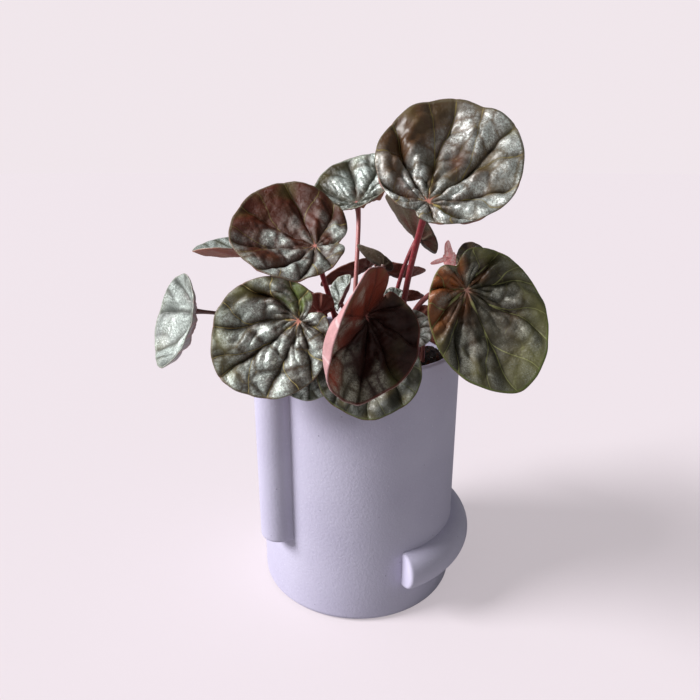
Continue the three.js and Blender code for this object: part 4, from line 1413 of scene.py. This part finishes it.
# The young shoot's finish; its glow paints light shining through the thin young tissue.
PINK = LeafFinish(
    furrow=(0.60, 0.25, 0.26), ground=(0.86, 0.46, 0.46), silver_and_sheen=(0.92, 0.74, 0.72),
    warm=(0.50, 0.14, 0.15), line=(0.55, 0.18, 0.19), rim=(0.55, 0.20, 0.20), under=(0.80, 0.40, 0.40),
    under_line=(0.86, 0.52, 0.50), star=(0.70, 0.30, 0.30), shine=0.45, warmth=0.15, rough=0.45,
    metal=0.1, furrow_share=0.3, glow=0.3,
)
SHOOT_BLADE = Leaf(
    "young_shoot", (39.5, 3, 148), (38.8, 3.4, 152.8), (-0.5, -1, 0.35), 6.4, 2, (29, 0), 26, 8, 0.9,
    side=-0.4, notch=0.0, point=0.95, fold=(30, 15), grid=Grid.SMALL, seed=160, finish=PINK,
    spacing=3.0, ragged=12.0, crumple=1.6, quilt=1.6,
)
SHOOT_SIDE = replace(
    SHOOT_BLADE, name="young_shoot_side", at=(38.5, 2.4, 150), tip=(31, -2, 148.5),
    faces=(0.3, -0.9, 0.3), width=1.6, back=1.0, side=0.0, point=0.1, fold=(10, 10), seed=161,
)


@dataclass
class Plant:
    """All leaves with their stalks, and the young shoot."""

    leaves: tuple[Leaf, ...] = LEAVES

    def build(self, effects: Effects) -> None:
        """Makes and dresses every leaf, stalk and the shoot.

        Args:
            effects: The shared node groups.
        """
        maker = StalkMaker()
        stems = {kind: kind.value.make(effects) for kind in Stem}
        for leaf in self.leaves:
            blade = leaf.blade(f"fine_blade_{leaf.name}")
            leaf.dress(blade, effects)
            hand_over(blade, f"blade_{leaf.name}")
            stalk = maker.make(f"fine_stalk_{leaf.name}", leaf, stems[leaf.stem])
            hand_over(stalk, f"stalk_{leaf.name}")
        for part in (SHOOT_BLADE, SHOOT_SIDE):
            blade = part.blade(f"fine_{part.name}")
            part.dress(blade, effects)
            hand_over(blade, "young_shoot")
        stalk = maker.make("fine_young_shoot_stalk", SHOOT_BLADE, stems[SHOOT_BLADE.stem])
        hand_over(stalk, "young_shoot")


# ---- Pot


LEAST_STEP = 0.015  # between two columns or rings of the pot's mesh


@dataclass(frozen=True)
class ClayFinish:
    """Matte lavender clay with a fine peel, dark and pale specks."""

    low: Colour = (0.51, 0.47, 0.625)
    high: Colour = (0.56, 0.52, 0.675)
    mottled: Colour = (0.60, 0.565, 0.71)
    mottle_share: float = 0.35
    specks: tuple[tuple[float, float, float, Colour], ...] = (  # scale, size, share and colour
        (330.0, 0.13, 0.55, (0.18, 0.15, 0.25)),
        (560.0, 0.17, 0.5, (0.80, 0.78, 0.88)),
    )
    rough: tuple[float, float] = (0.62, 0.78)
    peel_scale: float = 820.0
    bump: float = 0.28
    bump_depth: float = 0.35

    def make(self, effects: Effects) -> bpy.types.Material:
        """Builds the material.

        Args:
            effects: The shared node groups.

        Returns:
            The material.
        """
        material, wires, shader = start_material("lavender clay", {})
        place = wires.object_place()
        cloud = wires.ramp(wires.noise(place, 28.0, 3.0, 0.5), 0.35, 0.65)
        mottle = wires.ramp(wires.noise(place, 1100.0, 3.0, 0.6), 0.3, 0.7)
        coats = [(cloud, self.high), (wires.times(mottle, self.mottle_share), self.mottled)]
        for scale, size, share, shade in self.specks:
            feeds = {"Place": place, "Scale": scale, "Size": size}
            specks = wires.add("ShaderNodeGroup", feeds, node_tree=effects.specks).outputs[0]
            coats.append((wires.times(specks, share), shade))
        wires.join(wires.layers(self.low, *coats), shader.inputs["Base Color"])
        wires.join(wires.ramp(mottle, 0.0, 1.0, *self.rough), shader.inputs["Roughness"])
        peel = wires.plus(wires.noise(place, self.peel_scale, 2.0, 0.5), wires.times(mottle, 0.3))
        add_bump(wires, shader, peel, self.bump, self.bump_depth)
        return material


def spaced(values: np.ndarray) -> np.ndarray:
    """The values in order, without those that are as good as the same."""
    every = np.unique(np.round(values, 3))
    return every[np.concatenate([np.diff(every) > LEAST_STEP, [True]])]


@dataclass
class Pot:
    """The fired pot: a straight cylinder with an upright half-round bar and a lying roll.

    Angles are in degrees, round from the front to the right. The bar and the roll are logs of one
    radius, sunk by half in the wall.
    """

    radius: float = 45.0
    height: float = 114.0
    wall: float = 2.6
    floor: float = 6.0
    lip_round: float = 1.1
    foot_round: float = 3.0
    log_radius: float = 8.4
    end_round: float = 1.4
    bar_angle: float = -48.3
    bar_bottom: float = 34.5
    roll_height: float = 24.0
    roll_start: float = 25.0
    roll_end: float = 155.0
    fillet: float = 0.9
    column_step: float = 2.0
    bar_half: float = 13.0  # how far round the finer columns reach on each side of the bar
    bar_step: float = 0.5
    # Where the mesh is closer: in from the roll's ends, up from the bar's foot, down from its top
    roll_edge: tuple[float, ...] = (-0.6, -0.3, -0.02, 0.0, 0.2, 0.5, 0.9, 1.3, 1.8, 2.4)
    bar_edge: tuple[float, ...] = (-0.6, -0.02, 0.0, 0.08, 0.25, 0.5, 0.9, 1.4, 2.0)
    top_edge: tuple[float, ...] = (2.2, 1.4, 0.9, 0.5, 0.25, 0.08, 0.0)
    round_steps: int = 7
    roll_steps: int = 31
    wall_steps: int = 30
    wall_margin: float = 4.0
    lip_steps: int = 6
    inner_rings: tuple[float, ...] = (100.0, 60.0)  # heights on the plain inner wall
    sharp_from: float = 38.0
    finish: ClayFinish = ClayFinish()

    @property
    def bar_top(self) -> float:
        """The height of the bar's upper end."""
        return self.height - self.lip_round / 2

    def log_at(self, inside: np.ndarray) -> np.ndarray:
        """A log's radius, which has a rounded edge at its end.

        Args:
            inside: Depths in from the end face.

        Returns:
            The radii, 0 outside the log.
        """
        into = np.clip(inside, 0, self.end_round)
        rounding = np.sqrt(np.maximum(self.end_round**2 - (self.end_round - into) ** 2, 0))
        return np.where(inside < 0, 0.0, self.log_radius - self.end_round + rounding)

    def blend(self, one: np.ndarray, two: np.ndarray) -> np.ndarray:
        """The larger of two radii, with a small fillet where they meet."""
        share = np.clip(0.5 + (one - two) / (2 * self.fillet), 0, 1)
        return two + (one - two) * share + self.fillet * share * (1 - share)

    def outer(self, degrees: np.ndarray, z: np.ndarray) -> np.ndarray:
        """The outer surface's distance from the pot's axis.

        Args:
            degrees: Angles round from the front.
            z: Heights.

        Returns:
            The radii.
        """
        low = np.clip(self.foot_round - z, 0, self.foot_round)
        high = np.clip(z - self.height + self.lip_round, 0, self.lip_round)
        wall = self.radius - self.foot_round + np.sqrt(self.foot_round**2 - low**2)
        wall = wall - self.lip_round + np.sqrt(self.lip_round**2 - high**2)
        turn = np.radians(degrees - self.bar_angle)
        log = np.minimum(self.log_at(z - self.bar_bottom), self.log_at(self.bar_top - z))
        room = log**2 - (self.radius * np.sin(turn)) ** 2
        crown = self.radius * np.cos(turn) + np.sqrt(np.maximum(room, 0))
        bar = np.where((room > 0) & (np.cos(turn) > 0), crown, 0)
        arc = self.radius * np.radians(np.minimum(degrees - self.roll_start, self.roll_end - degrees))
        rolled = self.log_at(arc) ** 2 - (z - self.roll_height) ** 2
        roll = np.where(rolled > 0, self.radius + np.sqrt(np.maximum(rolled, 0)), 0)
        return self.blend(self.blend(wall, bar), roll)

    def columns(self) -> np.ndarray:
        """The angles of the mesh's columns, closer together over the bar and at the roll's ends.

        Returns:
            The angles in degrees, in order.
        """
        base = np.arange(-180, 180, self.column_step)
        bar = self.bar_angle + np.arange(-self.bar_half, self.bar_half + 0.01, self.bar_step)
        edge = np.array(self.roll_edge)
        return spaced(np.concatenate([base, bar, self.roll_start + edge, self.roll_end - edge]))

    def rows(self) -> np.ndarray:
        """The heights of the outer wall's rings, closer together at edges.

        Returns:
            The heights from the foot up.
        """
        quarter = np.linspace(0, math.pi / 2, self.round_steps)
        half = np.linspace(-math.pi / 2, math.pi / 2, self.roll_steps)
        foot = self.foot_round * (1 - np.cos(quarter))
        roll = self.roll_height + self.log_radius * np.sin(half)
        end = self.bar_bottom + np.array(self.bar_edge)
        above = np.linspace(
            self.bar_bottom + self.wall_margin, self.height - self.wall_margin, self.wall_steps
        )
        top = self.bar_top - np.array(self.top_edge)
        lip = self.height - self.lip_round * (1 - np.sin(quarter))
        return spaced(np.concatenate([foot, roll, end, above, top, lip]))

    def build(self, effects: Effects) -> None:
        """Makes and dresses the pot.

        Args:
            effects: The shared node groups.
        """
        columns = self.columns()
        even = np.ones(columns.shape)
        rings = [(self.outer(columns, h * even), h) for h in self.rows()]
        inner = self.radius - self.wall
        for angle in np.radians(np.linspace(90, 0, self.lip_steps)[1:]):
            r = inner + self.lip_round - self.lip_round * math.cos(angle)
            rings.append((r * even, self.height - self.lip_round + self.lip_round * math.sin(angle)))
        for h in (*self.inner_rings, self.floor + self.foot_round):
            rings.append((inner * even, h))
        rings.append(((inner - self.foot_round) * even, self.floor))
        turn = np.radians(columns)
        points = [np.stack([r * np.sin(turn), -r * np.cos(turn), h * even], -1) for r, h in rings]
        points = np.concatenate([[[0, 0, 0]], *points, [[0, 0, self.floor]]])
        faces = [(first, *rest[::-1]) for first, *rest in closed_faces(len(rings), len(columns))]
        piece = mesh_object("fine_pot", points, faces)
        piece.data.set_sharp_from_angle(angle=math.radians(self.sharp_from))
        piece.data.materials.append(self.finish.make(effects))
        hand_over(piece, "pot")


# ---- Soil


@dataclass(frozen=True)
class SoilFinish:
    """Dark brown soil with reddish and pale grey bits."""

    dark: Colour = (0.007, 0.004, 0.003)
    light: Colour = (0.022, 0.012, 0.008)
    bark: Colour = (0.080, 0.024, 0.012)
    bark_share: float = 0.85
    stone: Colour = (0.42, 0.40, 0.37)
    fleck: Colour = (0.12, 0.08, 0.06)
    fleck_share: float = 0.3
    rough: tuple[float, float] = (0.7, 0.95)
    specular: float = 0.15
    bump: float = 0.6
    bump_depth: float = 0.4

    def make(self) -> bpy.types.Material:
        """Builds the material.

        Returns:
            The material.
        """
        material, wires, shader = start_material("potting soil", {"Specular IOR Level": self.specular})
        place = wires.object_place()
        tone = wires.own_value("tone")
        dryness = wires.ramp(wires.noise(place, 120.0, 4.0, 0.6), 0.35, 0.65)
        fleck = wires.ramp(wires.noise(place, 1600.0, 3.0, 0.7), 0.55, 0.75)
        colour = wires.layers(
            self.dark,
            (dryness, self.light),
            (wires.ramp(tone, 0.5, 0.9, 0.0, self.bark_share), self.bark),
            (wires.ramp(tone, 0.965, 0.975), self.stone),
            (wires.times(fleck, self.fleck_share), self.fleck),
        )
        wires.join(colour, shader.inputs["Base Color"])
        wires.join(wires.ramp(dryness, 0.0, 1.0, *self.rough), shader.inputs["Roughness"])
        add_bump(wires, shader, wires.noise(place, 1500.0, 4.0, 0.7), self.bump, self.bump_depth)
        return material


@dataclass
class Soil:
    """Dark crumbly soil that fills the pot to just under its lip."""

    radius: float = 42.1
    bottom: float = 6.3
    foot_round: float = 3.0
    top: float = SOIL_TOP
    bump: float = 1.1
    rings: int = 44
    spokes: int = 132
    clods: tuple[tuple[float, float], ...] = ((0.35, 3.2), (0.2, 1.5))  # height and length
    clod_waves: int = 12
    crumb: float = 0.85
    crumbs_per_square_cm: float = 46.0
    least_crumb: Place = (0.35, 0.35, 0.3)  # its half lengths, in crumbs
    largest_crumb: Place = (1.1, 0.9, 0.7)
    grade: tuple[float, float, float] = (0.45, 1.5, 5.0)  # the least, what chance adds, how rarely
    crumb_sides: int = 7
    crumb_rings: int = 5
    jolt: float = 1.1  # how far a crumb's corners are moved
    jolt_scale: float = 900.0
    seed: int = 4
    tone_seed: int = 7
    finish: SoilFinish = SoilFinish()

    def height(self, x: np.ndarray, y: np.ndarray) -> np.ndarray:
        """The surface's height: two swells, and clods of two sizes.

        Args:
            x: Places to the right of the axis.
            y: Places behind it.

        Returns:
            The heights.
        """
        coarse = np.sin(0.31 * x + 1.3) * np.cos(0.27 * y - 0.4)
        fine = np.sin(0.83 * x - 0.61 * y) * np.cos(0.71 * x + 0.93 * y + 2.1)
        clods = sum(
            high * Ripple(self.seed + number, length, self.clod_waves).at(x, y)
            for number, (high, length) in enumerate(self.clods)
        )
        return self.top + self.bump * (0.6 * coarse + 0.5 * fine) + clods

    def build(self) -> None:
        """Makes and dresses the plug and the crumbs that lie on it."""
        angles = np.linspace(0, 2 * math.pi, self.spokes, endpoint=False)
        share = np.arange(1, self.rings + 1) / self.rings
        turn, r = np.meshgrid(angles, share * self.radius)
        x, y = r * np.cos(turn), r * np.sin(turn)
        upper = np.stack([x, y, self.height(x, y)], -1).reshape(-1, 3)
        foot = self.foot_round
        wall = [
            np.stack([reach * np.cos(angles), reach * np.sin(angles), np.full(self.spokes, h)], -1)
            for reach, h in ((self.radius, self.bottom + foot), (self.radius - foot, self.bottom))
        ]
        crown = [[0, 0, float(self.height(np.zeros(1), np.zeros(1))[0])]]
        points = np.concatenate([crown, upper, *wall, [[0, 0, self.bottom]]])
        piece = mesh_object("fine_soil", points, closed_faces(self.rings + 2, self.spokes))
        on_top = np.zeros(len(points))
        on_top[: 1 + (self.rings - 1) * self.spokes] = 1.0
        store(piece, "top", on_top)
        values = {
            "Density": self.crumbs_per_square_cm * SQUARE_CM, "Size": self.crumb * MM,
            "Seed": self.seed, "Material": self.finish.make(),
        }
        baked(piece, self.scatter(), values)
        hand_over(piece, "soil")

    def scatter(self) -> bpy.types.NodeTree:
        """The tree that strews crumbs over the soil's top.

        Returns:
            The geometry node tree.
        """
        inputs = {
            "Density": ("Float", 1.0), "Size": ("Float", 0.001), "Seed": ("Int", 0),
            "Material": ("Material", None),
        }
        wires, get, put = geometry_tree("Soil crumbs", inputs)
        ground, seed = get.outputs["Geometry"], get.outputs["Seed"]

        def chance(draw: int | bpy.types.NodeSocket) -> bpy.types.NodeSocket:
            """A random value from 0 to 1."""
            feeds = {2: 0.0, 3: 1.0, "Seed": draw}
            return wires.add("FunctionNodeRandomValue", feeds, data_type="FLOAT").outputs[1]

        def any_vector(least: Place, most: Place) -> bpy.types.NodeSocket:
            """A random vector between two."""
            feeds = {0: least, 1: most, "Seed": seed}
            return wires.add("FunctionNodeRandomValue", feeds, data_type="FLOAT_VECTOR").outputs[0]

        def scaled(vector: bpy.types.NodeSocket, scale: Feed) -> bpy.types.NodeSocket:
            """A vector times a value."""
            feeds = {0: vector, "Scale": scale}
            return wires.add("ShaderNodeVectorMath", feeds, operation="SCALE").outputs[0]

        top = wires.add("GeometryNodeInputNamedAttribute", {"Name": "top"}, data_type="FLOAT")
        feeds = {0: top.outputs["Attribute"], 1: 0.9}
        chosen = wires.add("FunctionNodeCompare", feeds, data_type="FLOAT", operation="GREATER_THAN")
        feeds = {
            "Mesh": ground, "Selection": chosen.outputs[0], "Density": get.outputs["Density"],
            "Seed": seed,
        }
        points = wires.add("GeometryNodeDistributePointsOnFaces", feeds).outputs["Points"]
        feeds = {"Segments": self.crumb_sides, "Rings": self.crumb_rings, "Radius": 1.0}
        crumb = wires.add("GeometryNodeMeshUVSphere", feeds).outputs[0]
        spin = any_vector((0.0, 0.0, 0.0), (6.28, 6.28, 6.28))
        shape = any_vector(self.least_crumb, self.largest_crumb)
        least, added, rare = self.grade
        grade = wires.plus(least, wires.times(wires.math("POWER", chance(seed), rare), added))
        scale = scaled(shape, wires.times(grade, get.outputs["Size"]))
        feeds = {"Points": points, "Instance": crumb, "Rotation": spin, "Scale": scale}
        placed = wires.add("GeometryNodeInstanceOnPoints", feeds).outputs[0]
        toned = wires.keep(placed, "tone", chance(self.tone_seed), "INSTANCE")
        solid = wires.add("GeometryNodeRealizeInstances", {0: toned}).outputs[0]
        spot = wires.add("GeometryNodeInputPosition").outputs[0]
        feeds = {"Vector": spot, "Scale": self.jolt_scale, "Detail": 1.0}
        rough = wires.add("ShaderNodeTexNoise", feeds).outputs[1]
        feeds = {0: rough, 1: (0.5, 0.5, 0.5)}
        centred = wires.add("ShaderNodeVectorMath", feeds, operation="SUBTRACT").outputs[0]
        feeds = {"Geometry": solid, "Offset": scaled(centred, self.jolt * MM)}
        broken = wires.add("GeometryNodeSetPosition", feeds).outputs[0]
        both = wires.add("GeometryNodeJoinGeometry")
        for part in (broken, ground):
            wires.join(part, both.inputs[0])
        wires.end(both.outputs[0], get, put)
        return wires.tree


# ---- Studio


@dataclass
class Studio:
    """The camera, soft lights and a wide pale floor.

    Angles are in degrees. The paper and the wall have a colour of their own for the camera, and
    light the plant with another.
    """

    eye: Place = (0.0, -244.0, 186.5)
    pitch: float = 17.6
    pan: float = -0.85
    focal_pixels: float = 569.0
    frame_pixels: float = 700.0
    sensor: float = 36.0
    paper: Colour = (0.416, 0.373, 0.396)
    paper_glow: Colour = (0.436, 0.392, 0.416)
    wall_glow: float = 0.875
    wall: Colour = (1.0, 0.91, 0.955)
    room_glow: float = 0.24
    room: Colour = (0.96, 1.0, 0.98)
    floor_back: Colour = (0.46, 0.445, 0.445)
    sun_from: Place = (-0.82, -0.165, 0.55)
    sun_strength: float = 4.75
    sun_spread: float = 24.0
    sun_colour: Colour = (0.99, 0.99, 1.0)
    floor_rings: tuple[float, ...] = (0.5, 3.0, 30.0)  # in metres
    floor_spokes: int = 96

    def build(self) -> None:
        """Makes the camera, the lights, the floor and the surrounding glow."""
        self._camera()
        self._floor()
        self._sun()
        self._room()
        bpy.context.scene.view_settings.view_transform = "Standard"

    def _sun(self) -> None:
        """Hangs the large soft main light at the upper left."""
        light = bpy.data.lights.new("main light", "SUN")
        light.energy = self.sun_strength
        light.angle = math.radians(self.sun_spread)
        light.color = self.sun_colour
        holder = in_scene("main light", light)
        holder.rotation_euler = (-Vector(self.sun_from)).to_track_quat("-Z", "Y").to_euler()

    def _room(self) -> None:
        """Surrounds the plant with a room that looks pale and lights it softly."""
        world = bpy.data.worlds.new("pale room")
        world.use_nodes = True
        bpy.context.scene.world = world
        wires = Wiring(world.node_tree)
        seen = wires.add("ShaderNodeLightPath").outputs["Is Camera Ray"]
        light = world.node_tree.nodes["Background"]
        light.inputs["Color"].default_value = (*self.room, 1.0)
        light.inputs["Strength"].default_value = self.room_glow
        feeds = {"Color": (*self.wall, 1.0), "Strength": self.wall_glow}
        pale = wires.add("ShaderNodeBackground", feeds)
        both = wires.add("ShaderNodeMixShader", {0: seen, 1: light.outputs[0], 2: pale.outputs[0]})
        wires.join(both.outputs[0], world.node_tree.nodes["World Output"].inputs["Surface"])

    def _camera(self) -> None:
        """Puts the camera where the photograph was taken from."""
        camera = bpy.data.cameras.new("camera")
        camera.sensor_width = self.sensor
        camera.lens = self.sensor * self.focal_pixels / self.frame_pixels
        camera.clip_start = 0.01
        holder = in_scene("camera", camera)
        holder.location = Vector(self.eye) * MM
        holder.rotation_euler = (math.radians(90 - self.pitch), 0.0, math.radians(-self.pan))
        bpy.context.scene.camera = holder

    def _floor(self) -> None:
        """Lays a wide round pale floor."""
        turn = np.linspace(0, 2 * math.pi, self.floor_spokes, endpoint=False)
        rings = [np.stack([r * np.cos(turn), r * np.sin(turn), 0 * turn], -1) for r in self.floor_rings]
        points = np.concatenate([np.zeros((1, 3)), *rings]) / MM
        floor = mesh_object("floor", points, ringed_faces(len(rings), self.floor_spokes))
        even = {"Emission Strength": 1.0, "Roughness": 0.95, "Specular IOR Level": 0.1}
        material, wires, shader = start_material("pale paper", even)
        seen = wires.add("ShaderNodeLightPath").outputs["Is Camera Ray"]
        wires.join(wires.mix(seen, self.floor_back, self.paper), shader.inputs["Base Color"])
        wires.join(wires.mix(seen, (0.0, 0.0, 0.0), self.paper_glow), shader.inputs["Emission Color"])
        floor.data.materials.append(material)


def main() -> None:
    """Builds the studio and every piece."""
    logging.basicConfig(level=logging.INFO, format="%(message)s")
    Studio().build()
    effects = Effects()
    Pot().build(effects)
    Soil().build()
    Plant().build(effects)
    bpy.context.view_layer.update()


if __name__ == "__main__":
    main()
